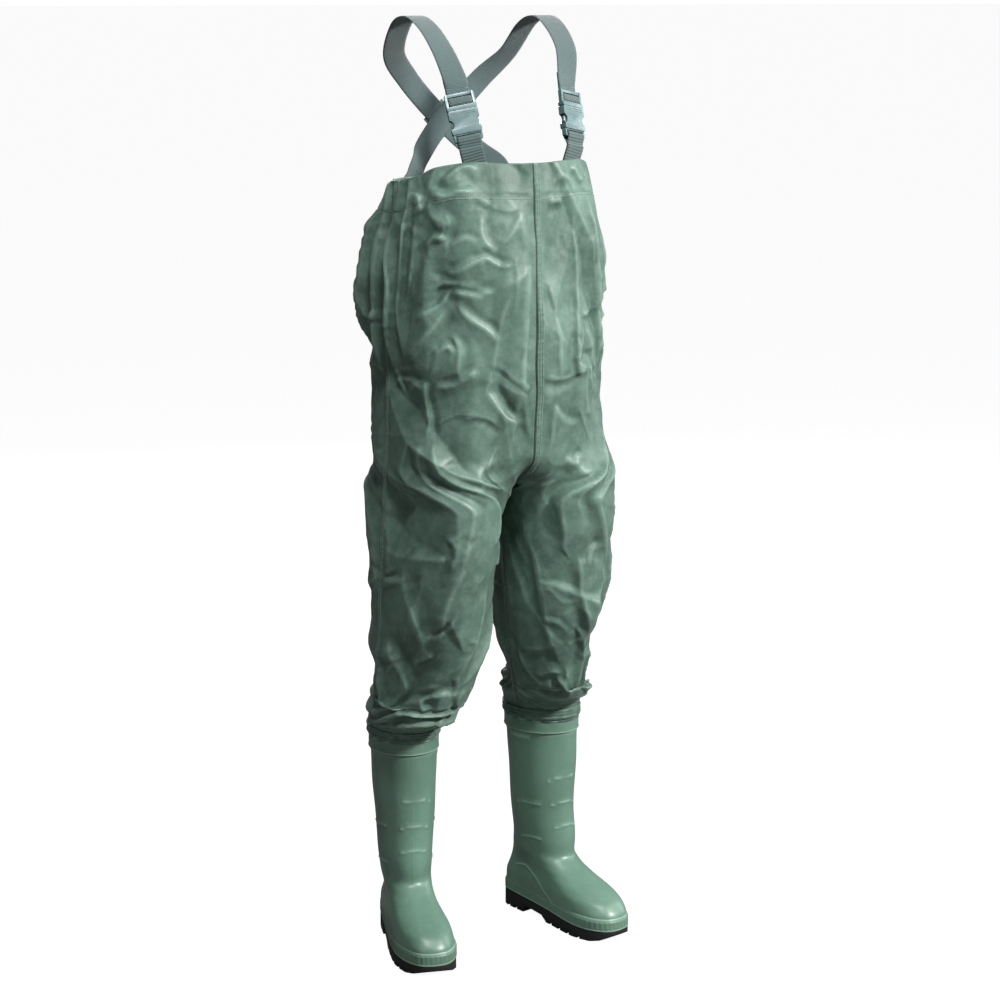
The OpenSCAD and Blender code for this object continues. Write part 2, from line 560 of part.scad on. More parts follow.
// The tab is sewn inside the hem and runs up round the socket's lower bar and back.
tab_in = fabric_t + facing_t + 2 * soft_gap + web_t + 5;
low_bar = -bar_drop;
lap = web_t / 2 + soft_gap;
bar_gap = web_t / 2 + 0.5;
module strap_tab() {
    tab_v = [for (h = [40, 27, 14, 4]) h / (tab_top[2] - crotch_h)];
    inside = [for (v = tab_v) garment_off(brace_a, v, -tab_in)];
    rise = [for (z = [low_bar - tab_len * 0.5, low_bar - 12]) from_buckle([0, 0, z])];
    front = [for (p = concat(inside, rise)) p - lap * in_dir];
    back = [for (p = concat(inside, rise)) p + lap * in_dir];
    turn_y = (buckle_t - 4) / 2 + bar_gap;
    turn_z = bar_w / 2 + bar_gap;
    loop = [for (p = [[-turn_y, -2.5], [-turn_y, 2], [1.6 - turn_y, turn_z + 1.2], [turn_y - 1.6, turn_z + 1.2],
        [turn_y, 2], [turn_y, -2.5]]) from_buckle([0, p[0], low_bar + p[1]])];
    points = concat(front, loop, [for (i = [len(back) - 1 : -1 : 0]) back[i]]);
    color(web_grey) strip(points, [for (p = points) across_dir], web_w / 2, web_t / 2);
}

// Shoulder brace: the tail, the turn round the plug's middle bar, then up, over and down the back.
shoulder_z = chest_h + shoulder_rise;
shoulder_y = 52;
back_y = chest_back + 34;
cross_z = chest_h + 92;
brace_ends = [[155, -12, 4], [151, 6, 2.4], [143, 32, 2.2]];
thread_y = bar_t / 2 + bar_gap;
tail_y = thread_y + web_t + 2;
mid_top = mid_bar + bar_w;
thread = [[tail_y, plug_top + 30], [tail_y, plug_top + 8], [tail_y, mid_top + 4], [thread_y, mid_bar + 1],
    [1.6, mid_bar - 2.6], [-1.6, mid_bar - 2.6], [-thread_y, mid_bar - 0.4], [-thread_y, mid_top + 0.4],
    [-1.6, mid_top + 2.7], [1.6, mid_top + 2.7], [thread_y, top_bar - 0.4], [thread_y, plug_top + 8]];
function over_shoulder(over) = [from_buckle([0, thread_y - 1, plug_top + 24]),
    [shoulder_half - 6, shoulder_y - 92, shoulder_z - 52], [shoulder_half - 2, shoulder_y - 48, shoulder_z - 16],
    [shoulder_half, shoulder_y, shoulder_z], [shoulder_half - 2, shoulder_y + 48, shoulder_z - 14],
    [shoulder_half - 12, back_y - 26, shoulder_z - 62], [shoulder_half * 0.6, back_y - 2, cross_z + 66],
    [shoulder_half * 0.27, back_y + 5 + over, cross_z + 26], [0, back_y + 5 + over, cross_z - 4],
    [-shoulder_half * 0.25, back_y + 5 + over, cross_z - 34], [-shoulder_half * 0.47, back_y - 8, cross_z - 60]];
function back_end() = [for (e = brace_ends)
    mirrored(garment_off(e[0], e[1] / (chest_h - crotch_h), web_t / 2 + e[2]))];
// The webbing faces away from the shoulder, and lower down the back away from the body's axis.
function outward(p) = let (up = p[1] < 0 ? 1 : smooth((p[2] - cross_z - 30) / 80),
    low = smooth((cross_z - 44 - p[2]) / 40))
    unit(up * unit([0, p[1] - 30, p[2] - chest_h - 110]) + (1 - up) * (1 - low) * [0, 1, 0]
        + (1 - up) * low * (unit([p[0] / pow(chest_half_w, 2), p[1] / pow(chest_back, 2), 0])
            + [0, 0, 0.28 * smooth((chest_h + 8 - p[2]) / 12)]));
module shoulder_strap(over) {
    threaded = [for (p = thread) from_buckle([0, p[0], p[1]])];
    free = splined(concat([threaded[len(thread) - 1]], over_shoulder(over), back_end()), 3);
    last = len(free) - 1;
    function along(i) = unit(free[min(last, i + 1)] - free[max(0, i - 1)]);
    spread = [for (i = [0 : last]) let (w = smooth(i / 8), n = outward(free[i]))
        unit(across_dir * (1 - w) + unit(cross(along(i), n)) * w)];
    points = concat(threaded, [for (i = [1 : last]) free[i]]);
    across = concat([for (p = threaded) across_dir], [for (i = [1 : last]) spread[i]]);
    color(web_grey) strip(points, across, web_w / 2, web_t / 2);
}

patch_half = 34;
patch_t = 2;
cross_gap = web_t / 2 + 0.8;
module back_strap_patch() {
    color(tape_green) translate([0, back_y + 5 + 2 * cross_gap + web_t / 2 + 1, cross_z - 4]) rotate([90, 0, 0])
        linear_extrude(height = patch_t, center = true)
            polygon([[patch_half, 0], [0, patch_half], [-patch_half, 0], [0, -patch_half]]);
}

// Left-hand pieces are modelled on +X and right-hand ones are their mirror image. All of them are
// moved back or forth so that the origin is below the middle of the bounding box.
origin_y = -16.87;
module centred() {
    translate([0, origin_y, 0]) children();
}

module on_left() {
    centred() children();
}

module on_right() {
    centred() mirror([1, 0, 0]) children();
}

on_right() front_panel();  // right_front_panel
on_left() front_panel();  // left_front_panel
on_right() back_panel();  // right_back_panel
on_left() back_panel();  // left_back_panel
centred() front_hem_facing();
centred() back_hem_facing();
centred() chest_elastic();
centred() front_centre_seam();
centred() back_centre_seam();
on_right() side_seam();  // right_side_seam
on_left() side_seam();  // left_side_seam
on_right() inseam();  // right_inseam
on_left() inseam();  // left_inseam
on_right() leg_cuff();  // right_leg_cuff
on_left() leg_cuff();  // left_leg_cuff
on_right() boot_collar();  // right_boot_collar
on_left() boot_collar();  // left_boot_collar
on_right() boot_upper();  // right_boot_upper
on_left() boot_upper();  // left_boot_upper
on_right() boot_lining();  // right_boot_lining
on_left() boot_lining();  // left_boot_lining
on_right() footbed();  // right_footbed
on_left() footbed();  // left_footbed
on_right() boot_rand();  // right_boot_rand
on_left() boot_rand();  // left_boot_rand
on_right() outsole();  // right_outsole
on_left() outsole();  // left_outsole
on_right() strap_tab();  // right_strap_tab
on_left() strap_tab();  // left_strap_tab
on_right() shoulder_strap(cross_gap);  // right_shoulder_strap
on_left() shoulder_strap(-cross_gap);  // left_shoulder_strap
centred() back_strap_patch();
on_right() buckle_socket();  // right_buckle_socket
on_left() buckle_socket();  // left_buckle_socket
on_right() buckle_plug();  // right_buckle_plug
on_left() buckle_plug();  // left_buckle_plug
on_right() prong(1);  // right_outer_prong
on_right() prong(-1);  // right_inner_prong
on_left() prong(1);  // left_outer_prong
on_left() prong(-1);  // left_inner_prong
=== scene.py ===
import bpy, math
import numpy as np
from mathutils.geometry import delaunay_2d_cdt
from mathutils import Matrix, Vector


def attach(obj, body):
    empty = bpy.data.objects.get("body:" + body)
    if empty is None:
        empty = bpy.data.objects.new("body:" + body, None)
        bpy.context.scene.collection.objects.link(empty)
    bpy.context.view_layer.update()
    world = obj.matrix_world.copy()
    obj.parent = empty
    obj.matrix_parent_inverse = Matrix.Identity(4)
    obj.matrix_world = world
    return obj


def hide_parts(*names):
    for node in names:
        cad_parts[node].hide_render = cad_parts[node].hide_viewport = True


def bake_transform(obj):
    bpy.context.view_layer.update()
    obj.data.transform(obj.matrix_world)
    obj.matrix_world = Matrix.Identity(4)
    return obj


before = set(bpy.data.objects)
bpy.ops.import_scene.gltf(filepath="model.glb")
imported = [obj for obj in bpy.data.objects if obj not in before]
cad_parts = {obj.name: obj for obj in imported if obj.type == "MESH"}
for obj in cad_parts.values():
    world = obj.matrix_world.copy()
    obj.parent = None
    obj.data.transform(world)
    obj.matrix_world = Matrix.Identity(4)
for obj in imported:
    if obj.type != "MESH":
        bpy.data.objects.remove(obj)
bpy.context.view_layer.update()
print("frame loaded:", len(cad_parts), "nodes")

# view, floor and light
viewPlace = {"at": (-1.953, -3.690, 1.596), "turn": -28, "down": 11.3, "lens": 91.4, "shiftX": 0.007}


def makeCamera(place):
    camera = bpy.data.objects.new("viewCamera", bpy.data.cameras.new("viewCamera"))
    bpy.context.scene.collection.objects.link(camera)
    camera.location = place["at"]
    camera.rotation_euler = (math.radians(90 - place["down"]), 0, math.radians(place["turn"]))
    camera.data.lens = place["lens"]
    camera.data.shift_x = place["shiftX"]
    camera.data.clip_end = 900
    bpy.context.scene.camera = camera


makeCamera(viewPlace)


class Wire:  # a shader socket that sums can be written with
    def __init__(self, board, socket):
        self.board, self.socket = board, socket

    def sums(self, operation, first, second=None):
        return self.board.add("Math", {"operation": operation}, first, second)

    def __add__(self, other): return self.sums("ADD", self, other)
    def __radd__(self, other): return self.sums("ADD", other, self)
    def __sub__(self, other): return self.sums("SUBTRACT", self, other)
    def __rsub__(self, other): return self.sums("SUBTRACT", other, self)
    def __mul__(self, other): return self.sums("MULTIPLY", self, other)
    def __rmul__(self, other): return self.sums("MULTIPLY", other, self)


class Board:  # one material and its nodes
    def __init__(self, name):
        self.material = bpy.data.materials.new(name)
        self.material.use_nodes = True
        self.tree = self.material.node_tree
        self.tree.nodes.clear()

    def add(self, kind, settings=None, *values, out=0, **named):
        node = self.tree.nodes.new("ShaderNode" + kind)
        for key, value in (settings or {}).items():
            if key == "stops":
                while len(node.color_ramp.elements) < len(value):
                    node.color_ramp.elements.new(0.5)
                for element, (place, colour) in zip(node.color_ramp.elements, value):
                    element.position = place
                    element.color = (*colour, 1) if len(colour) == 3 else colour
            else:
                setattr(node, key, value)
        places = list(enumerate(values)) + [(key, value) for key, value in named.items()]
        for key, value in places:
            if value is None:
                continue
            socket = node.inputs[key] if isinstance(key, int) else node.inputs[key.replace("_", " ")]
            if isinstance(value, Wire):
                self.tree.links.new(value.socket, socket)
            elif socket.type == "RGBA" and len(value) == 3:
                socket.default_value = (*value, 1)
            else:
                socket.default_value = value
        return Wire(self, node.outputs[out])

    def blend(self, amount, first, second, mode="MIX"):
        node = self.tree.nodes.new("ShaderNodeMix")
        node.data_type, node.blend_type = "RGBA", mode
        for key, value in ((0, amount), (6, first), (7, second)):
            if isinstance(value, Wire):
                self.tree.links.new(value.socket, node.inputs[key])
            elif key:
                node.inputs[key].default_value = (*value, 1)
            else:
                node.inputs[key].default_value = value
        return Wire(self, node.outputs[2])

    def spot(self):  # object coordinates
        return self.add("TexCoord", None, out=3)

    def clothWay(self):  # metres across and along the cloth
        return self.parts(self.add("UVMap", {"uv_map": "cloth"}))[:2]

    def size(self, value):
        return self.add("Math", {"operation": "ABSOLUTE"}, value)

    def noise(self, place, scale, detail=3, rough=0.55):
        return self.add("TexNoise", None, Vector=place, Scale=scale, Detail=detail, Roughness=rough)

    def wave(self, place, pitch):  # a cosine of a coordinate, from 0 to 1
        return self.add("Math", {"operation": "COSINE"}, place * (2 * math.pi / pitch)) * 0.5 + 0.5

    def parts(self, vector):
        node = self.tree.nodes.new("ShaderNodeSeparateXYZ")
        self.tree.links.new(vector.socket, node.inputs[0])
        return [Wire(self, socket) for socket in node.outputs]

    def clip(self, value, low=0.0, high=1.0):
        return self.add("MapRange", {"clamp": True}, value, low, high, 0.0, 1.0)

    def bump(self, height, distance, strength=1.0, normal=None):
        return self.add("Bump", None, Strength=strength, Distance=distance, Height=height, Normal=normal)

    def finish(self, colour, rough, normal=None, **fixed):
        shader = self.add("BsdfPrincipled", None, Base_Color=colour, Roughness=rough, Normal=normal, **fixed)
        output = self.tree.nodes.new("ShaderNodeOutputMaterial")
        self.tree.links.new(shader.socket, output.inputs[0])
        return self.material


def tint(red, green, blue):  # screen colour, 0 to 255, to scene colour
    return tuple(((c / 255 + 0.055) / 1.055) ** 2.4 if c > 10 else c / 255 / 12.92 for c in (red, green, blue))


stageLook = {
    "floor": 600, "floorShade": 0.16, "floorSeen": 0.94, "floorGlow": 0.01, "sky": (0.93, 0.97, 1, 1),
     "skyLight": 0.04,
    "aim": (0, 0, 0.8),
    "lights": (  # name, place, size, watts, colour
        ("keyLight", (2.0, -3.1, 3.0), (0.5, 0.5), 285, (1, 0.99, 0.96)),
        ("sideLight", (2.9, -0.2, 1.6), (0.5, 2.0), 30, (0.93, 0.98, 1)),
        ("topLight", (-0.6, -1.5, 3.4), (0.5, 0.5), 62, (1, 1, 1)),
        ("backLight", (1.2, 3.8, 2.4), (0.9, 0.9), 90, (1, 1, 1)),
        ("leftLight", (-3.3, -2.6, 2.6), (0.3, 0.8), 22, (1, 1, 1))),
}


def setStage(look):
    floorBoard = Board("paleFloor")
    shade = floorBoard.add("BsdfDiffuse", None, Color=(look["floorShade"],) * 3)
    seen = floorBoard.add("LightPath", out=0) * look["floorSeen"] + look["floorGlow"]
    glow = floorBoard.add("Emission", None, Color=(1, 1, 1), Strength=seen)
    both = floorBoard.add("AddShader", None, shade, glow)
    output = floorBoard.tree.nodes.new("ShaderNodeOutputMaterial")
    floorBoard.tree.links.new(both.socket, output.inputs[0])
    bpy.ops.mesh.primitive_plane_add(size=look["floor"], location=(0, 0, 0))
    floor = bpy.context.active_object
    floor.name = "studioFloor"
    floor.data.materials.append(floorBoard.material)
    world = bpy.data.worlds.new("studioWorld")
    bpy.context.scene.world = world
    world.use_nodes = True
    tree = world.node_tree
    tree.nodes.clear()
    seen, lit, mix = (tree.nodes.new("ShaderNode" + kind) for kind in ("Background", "Background", "MixShader"))
    path, output = tree.nodes.new("ShaderNodeLightPath"), tree.nodes.new("ShaderNodeOutputWorld")
    seen.inputs[0].default_value, seen.inputs[1].default_value = (1, 1, 1, 1), 1.0
    lit.inputs[0].default_value, lit.inputs[1].default_value = look["sky"], look["skyLight"]
    tree.links.new(path.outputs["Is Camera Ray"], mix.inputs[0])
    tree.links.new(lit.outputs[0], mix.inputs[1])
    tree.links.new(seen.outputs[0], mix.inputs[2])
    tree.links.new(mix.outputs[0], output.inputs[0])
    bpy.context.scene.view_settings.view_transform = "Standard"
    for name, at, size, power, colour in look["lights"]:
        light = bpy.data.objects.new(name, bpy.data.lights.new(name, "AREA"))
        bpy.context.scene.collection.objects.link(light)
        light.location = at
        light.data.shape, light.data.size, light.data.size_y = "RECTANGLE", size[0], size[1]
        light.data.energy, light.data.color = power, colour
        light.rotation_euler = (Vector(look["aim"]) - Vector(at)).to_track_quat("-Z", "Y").to_euler()


setStage(stageLook)
print("view, floor and light set")

# finishes, in screen colours and metres
# the shell's line colour is a painted shadow along the front centre seam and the inseam
fabricLook = {"green": (92, 119, 108), "dark": (60, 84, 74), "light": (146, 170, 159), "weave": 0.0009,
              "rough": 0.43, "press": 0.0012, "line": (22, 32, 28)}
webLook = {"grey": (84, 104, 104), "dark": (50, 66, 67), "rib": 0.0021, "rough": 0.78, "edge": (0.0165, 0.0185)}
rubberLook = {"green": (99, 132, 116), "light": (142, 172, 156), "dark": (58, 86, 73), "rough": 0.36}


def shellFabric(name, look):
    board = Board(name)
    dark, green, light = (tint(*look[key]) for key in ("dark", "green", "light"))
    spot = board.spot()
    u, v = board.clothWay()
    crease = board.add("Attribute", {"attribute_name": "crease"}, out=2)
    cloud = board.noise(spot, 9, 4)
    mottle = board.noise(spot, 55, 4, 0.65)
    speck = board.noise(spot, 420, 2, 0.6)
    weave = board.wave(u, look["weave"]) * 0.5 + board.wave(v, look["weave"]) * 0.5
    colour = board.blend(board.clip(cloud, 0.32, 0.68), dark, green)
    # painted shade in the hollows of the folds, and a painted highlight along their ridges
    colour = board.blend(0.6 + crease * 0.4, dark, colour)
    colour = board.blend(board.clip(crease, 0.62, 1.0) * 0.20, colour, light)
    colour = board.blend(board.clip(mottle, 0.42, 0.75) * 0.2, colour, light)
    colour = board.blend(board.clip(speck, 0.5, 0.7) * 0.12, colour, dark)
    fine = board.bump(mottle, 0.0012, 0.3)
    wrinkle = board.noise(spot, 17, 5, 0.62)
    fine = board.bump(wrinkle, 0.006, 0.22, fine)
    fine = board.bump(weave, 0.00012, 0.5, fine)
    rough = look["rough"] + mottle * 0.14 - board.clip(crease, 0.5, 1) * 0.08
    # painted shadow: a dark line along the front centre seam and down the inseam
    seamShadowLine = 1 - board.clip(u, 0.0003, 0.0016)
    colour = board.blend(seamShadowLine * 0.8, colour, tint(*look["line"]))
    return board.finish(colour, rough, fine, Specular_IOR_Level=0.38, Sheen_Weight=0.12, Sheen_Roughness=0.4,
                        Sheen_Tint=(0.8, 0.95, 0.88, 1))


def seamFabric(name, look, rows=()):
    board = Board(name)
    dark, green = tint(*look["dark"]), tint(*look["green"])
    spot = board.spot()
    u, v = board.clothWay()
    mottle = board.noise(spot, 70, 4)
    colour = board.blend(board.clip(mottle, 0.35, 0.7), dark, green)
    pucker = board.wave(v + board.noise(spot, 60) * 0.006, 0.009)
    normal = board.bump(pucker, 0.0007, 0.3)
    normal = board.bump(board.wave(u, look["weave"]) * board.wave(v, look["weave"]), 0.00015, 0.5, normal)
    for row in rows:  # a pressed line under each row of stitches
        # painted shade: the pressed groove under each row of stitches is darkened
        line = 1 - board.clip(board.size(u - row), 0.0, look["press"])
        colour = board.blend(line * 0.45, colour, dark)
        normal = board.bump(1 - line, 0.0007, 0.7, normal)
    return board.finish(colour, look["rough"] + 0.1 + mottle * 0.1, normal, Specular_IOR_Level=0.45,
                        Sheen_Weight=0.15)


def threadCotton(name, colours):
    board = Board(name)
    spot = board.spot()
    fuzz = board.noise(spot, 900, 3)
    return board.finish(board.blend(fuzz, tint(*colours[0]), tint(*colours[1])), 0.6 + fuzz * 0.2,
                        board.bump(fuzz, 0.0003, 0.5), Sheen_Weight=0.3)


def braceWebbing(name, look, elastic=False):
    board = Board(name)
    dark, grey = tint(*look["dark"]), tint(*look["grey"])
    spot = board.spot()
    u, v = board.clothWay()
    ribs = board.wave(v, look["rib"] * (2.2 if elastic else 1))
    warp = board.wave(u + board.wave(v, look["rib"] * 2) * 0.0003, 0.0012)
    edge = board.clip(board.size(u), *look["edge"])
    fuzz = board.noise(spot, 480, 4, 0.7)
    cloud = board.noise(spot, 22, 3)
    colour = board.blend(ribs * 0.5 + warp * 0.3, dark, grey)
    colour = board.blend(board.clip(cloud, 0.35, 0.7) * 0.3, colour, dark)
    colour = board.blend(fuzz * 0.25, colour, tint(*[min(255, c + 34) for c in look["grey"]]))
    colour = board.blend(edge * 0.35, colour, dark)
    normal = board.bump(ribs, 0.0009 if elastic else 0.0005, 0.8)
    normal = board.bump(warp, 0.0003, 0.6, normal)
    normal = board.bump(fuzz, 0.0003, 0.5, normal)
    return board.finish(colour, look["rough"] + fuzz * 0.12, normal, Specular_IOR_Level=0.3, Sheen_Weight=0.35,
                        Sheen_Roughness=0.5)


def mouldedRubber(name, look, raised=True, gloss=0.12):
    board = Board(name)
    dark, green, light = (tint(*look[key]) for key in ("dark", "green", "light"))
    spot = board.spot()
    cloud = board.noise(spot, 7, 3)
    mottle = board.noise(spot, 90, 5, 0.7)
    pores = board.noise(spot, 900, 3, 0.6)
    colour = board.blend(board.clip(cloud, 0.3, 0.7), dark, green)
    colour = board.blend(0.55, colour, green)
    colour = board.blend(board.clip(mottle, 0.5, 0.85) * 0.16, colour, light)
    if raised:
        # painted highlight: the raised ribs, rim lines and rand edges of the boot are painted lighter
        rib = board.add("Attribute", {"attribute_name": "rib"}, out=2)
        colour = board.blend(board.clip(rib, 0.25, 1.0) * 0.8, colour, light)
    scuff = board.clip(board.noise(spot, 38, 6, 0.75), 0.6, 0.8)
    rough = look["rough"] + mottle * 0.08 + scuff * 0.07
    normal = board.bump(mottle, 0.0006, 0.16)
    normal = board.bump(pores, 0.0002, 0.3, normal)
    return board.finish(colour, rough, normal, Specular_IOR_Level=0.55, Coat_Weight=gloss, Coat_Roughness=0.35)


def soleRubber(name):
    board = Board(name)
    spot = board.spot()
    grain = board.noise(spot, 160, 5, 0.7)
    dust = board.clip(board.noise(spot, 30, 5, 0.7), 0.5, 0.75)
    colour = board.blend(dust * 0.35, tint(13, 15, 15), tint(46, 50, 48))
    return board.finish(colour, 0.55 + grain * 0.2, board.bump(grain, 0.0007, 0.5), Specular_IOR_Level=0.45)


def bucklePlastic(name, face=(94, 118, 120), deep=(56, 76, 79)):
    board = Board(name)
    spot = board.spot()
    grain = board.noise(spot, 1400, 3, 0.6)
    cloud = board.noise(spot, 60, 4)
    wear = board.clip(board.noise(spot, 260, 6, 0.75), 0.6, 0.78)
    colour = board.blend(board.clip(cloud, 0.35, 0.7), tint(*deep), tint(*face))
    colour = board.blend(0.55, colour, tint(*face))
    colour = board.blend(wear * 0.25, colour, tint(186, 208, 207))
    return board.finish(colour, 0.3 + grain * 0.12 + wear * 0.12, board.bump(grain, 0.00012, 0.35),
                        Specular_IOR_Level=0.6, Coat_Weight=0.15, Coat_Roughness=0.2)


def knitFoam(name, colours, scale):
    board = Board(name)
    spot = board.spot()
    x, y, z = board.parts(spot)
    loops = board.wave(x + y, scale) * board.wave(z, scale)
    fuzz = board.noise(spot, 500, 3)
    colour = board.blend(loops * 0.6 + fuzz * 0.4, tint(*colours[0]), tint(*colours[1]))
    return board.finish(colour, 0.85 + fuzz * 0.1,
                        board.bump(loops, 0.0005, 0.6), Sheen_Weight=0.3)


finishes = {
    "shell": shellFabric("shellFabricGreen", fabricLook),
    "seam": seamFabric("seamFabricGreen", {**fabricLook, "dark": (74, 100, 89)}, (-0.0024, 0.0024)),
    "band": seamFabric("bandFabricGreen", {**fabricLook, "green": (88, 119, 106)}),
    "thread": threadCotton("stitchThread", ((46, 68, 60), (126, 150, 138))),
    "web": braceWebbing("braceWebbing", webLook),
    "tab": braceWebbing("tabWebbing", {**webLook, "grey": (74, 96, 95), "dark": (44, 60, 60)}, True),
    "boot": mouldedRubber("bootRubber", rubberLook),
    "rand": mouldedRubber("randRubber", {**rubberLook, "green": (98, 130, 113), "rough": 0.42}),
    "sole": soleRubber("soleRubber"),
    "buckle": bucklePlastic("bucklePlastic"),
    "lining": knitFoam("liningKnit", ((34, 42, 40), (66, 78, 74)), 0.0022),
    "foam": knitFoam("footbedFoam", ((40, 46, 46), (78, 86, 84)), 0.0035),
    "elastic": braceWebbing("hemElastic", {**webLook, "grey": (196, 198, 192), "dark": (150, 152, 148),
                                           "rib": 0.003, "rough": 0.85}, True),
}
print("finishes made:", len(finishes))


def deselectAll():
    if bpy.context.object and bpy.context.object.mode != "OBJECT":
        bpy.ops.object.mode_set(mode="OBJECT")
    for thing in bpy.context.selected_objects:
        thing.select_set(False)


def makeActive(piece):
    deselectAll()
    piece.select_set(True)
    bpy.context.view_layer.objects.active = piece


def useModifier(piece, kind, **settings):
    makeActive(piece)
    modifier = piece.modifiers.new(kind.lower(), kind)
    for key, value in settings.items():
        setattr(modifier, key, value)
    bpy.ops.object.modifier_apply(modifier=modifier.name)


def meshPiece(name, points, faces, finish, uv=None, marks=None, smooth=True):
    mesh = bpy.data.meshes.new(name)
    mesh.from_pydata(np.asarray(points, float).tolist(), [], [tuple(int(i) for i in face) for face in faces])
    piece = bpy.data.objects.new(name, mesh)
    bpy.context.scene.collection.objects.link(piece)
    mesh.materials.append(finishes[finish])
    if uv is not None:
        layer = mesh.uv_layers.new(name="cloth")
        corners = np.zeros(len(mesh.loops), np.int32)
        mesh.loops.foreach_get("vertex_index", corners)
        layer.data.foreach_set("uv", np.asarray(uv, float)[corners].astype(np.float32).ravel())
    for key, values in (marks or {}).items():
        layer = mesh.attributes.new(key, "FLOAT", "POINT")
        layer.data.foreach_set("value", np.asarray(values, np.float32).ravel())
    if smooth:
        mesh.polygons.foreach_set("use_smooth", np.ones(len(mesh.polygons), bool))
    mesh.update()
    return piece


def gridFaces(rows, cols, base=0, loop=False, turned=False):
    r, c = np.meshgrid(np.arange(rows - 1), np.arange(cols if loop else cols - 1), indexing="ij")
    n = (c + 1) % cols
    corners = [r * cols + c, (r + 1) * cols + c, (r + 1) * cols + n, r * cols + n]
    quads = np.stack(corners, -1).reshape(-1, 4) + base
    return quads[:, ::-1] if turned else quads


def closedBand(name, outer, inner, finish, uv, loop=False, marks=None, flip=False):
    # Two grids of the same size made into one closed flat solid.
    rows, cols = outer.shape[:2]
    count = rows * cols
    faces = [*gridFaces(rows, cols, 0, loop, flip), *gridFaces(rows, cols, count, loop, not flip)]

    def addEdge(first, second, way):  # a wall between the grids along one grid edge
        face = [first, second, count + second, count + first]
        faces.append(face[::-1] if way else face)
    for row, way in ((0, flip), (rows - 1, not flip)):
        for c in range(cols if loop else cols - 1):
            addEdge(row * cols + c, row * cols + (c + 1) % cols, way)
    if not loop:
        for col, way in ((0, not flip), (cols - 1, flip)):
            for r in range(rows - 1):
                addEdge(r * cols + col, (r + 1) * cols + col, way)
    points = np.concatenate([outer.reshape(-1, 3), inner.reshape(-1, 3)])
    flat = np.concatenate([uv.reshape(-1, 2)] * 2)
    marks = {key: np.concatenate([value.ravel()] * 2) for key, value in (marks or {}).items()}
    return meshPiece(name, points, faces, finish, flat, marks)


def keep(piece, nodes, body="waders"):
    if nodes:
        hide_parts(*nodes)
    if body:
        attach(piece, body)
    return piece


def finer(values, steps, axis):  # Catmull-Rom points between grid lines
    values = np.moveaxis(values, axis, 0)
    padded = np.concatenate([values[:1], values, values[-1:]])
    a, b, c, d = padded[:-3], padded[1:-2], padded[2:-1], padded[3:]
    rows = []
    for k in range(steps):
        t = k / steps
        rows.append(0.5 * (2 * b + (c - a) * t + (2 * a - 5 * b + 4 * c - d) * t * t
                           + (3 * b - a - 3 * c + d) * t ** 3))
    out = np.stack(rows, 1).reshape((-1,) + values.shape[1:])
    return np.moveaxis(np.concatenate([out, values[-1:]]), 0, axis)


def unit(v):
    return v / np.maximum(np.linalg.norm(v, axis=-1, keepdims=True), 1e-9)


def smooth(t):
    c = np.clip(t, 0, 1)
    return c * c * (3 - 2 * c)


def distances(grid, axis):  # metres along the rows or columns of a grid
    steps = np.linalg.norm(np.diff(grid, axis=axis), axis=-1)
    start = np.zeros_like(np.take(steps, [0], axis=axis))
    return np.concatenate([start, np.cumsum(steps, axis)], axis)


def neighbourMean(grid):  # of the inner points of a grid
    return (grid[:-2, 1:-1] + grid[2:, 1:-1] + grid[1:-1, :-2] + grid[1:-1, 2:]) / 4


def between(v, table):
    return np.interp(v, [p[0] for p in table], [p[1] for p in table])


# the garment's cut, in mm, with levels 0 at the hem, 1 at the crotch and 2 at the boot's rim
garmentCut = {
    "crotch": 800, "chest": 1299, "bootRim": 360.3, "bibRise": 33, "braceLift": 11, "round": 0.94, "dip": 0.16,
    "shiftY": -16.87, "stance": 134, "shaftY": 72, "toeOut": 14,
    "side": [[0, 165], [0.1, 175.5], [0.3, 191], [0.55, 194], [0.8, 190], [1, 192]],
    "front": [[0, 134], [0.1, 142], [0.3, 148], [0.6, 150], [0.8, 145], [1, 136]],
    "back": [[0, 140], [0.08, 161], [0.2, 178], [0.35, 182], [0.6, 176], [0.8, 170], [1, 162]],
    "legX": [[1, 97], [1.2, 102], [1.6, 116], [2, 134]],
    "legY": [[1, 6], [1.2, 2], [1.45, 8], [1.65, 24], [1.85, 42], [1.93, 56], [1.965, 72], [2, 72]],
    "legW": [[1, 96], [1.2, 94], [1.45, 89], [1.65, 81], [1.85, 74], [1.93, 73], [1.965, 57], [2, 57]],
    "legD": [[1, 140], [1.2, 124], [1.45, 116], [1.65, 108], [1.85, 98], [1.93, 92], [1.965, 69], [2, 69]],
}
fabricThick = 0.0012


def power(x, p):
    return np.sign(x) * np.abs(x) ** p


def hemHeight(a):
    front = np.abs(a) < 90
    rise = garmentCut["bibRise"] * np.abs(np.cos(np.radians(a))) ** 1.2
    lift = garmentCut["braceLift"] * np.sin(np.radians(2 * a)) ** 2
    return garmentCut["chest"] + np.where(front, rise + lift, 0)


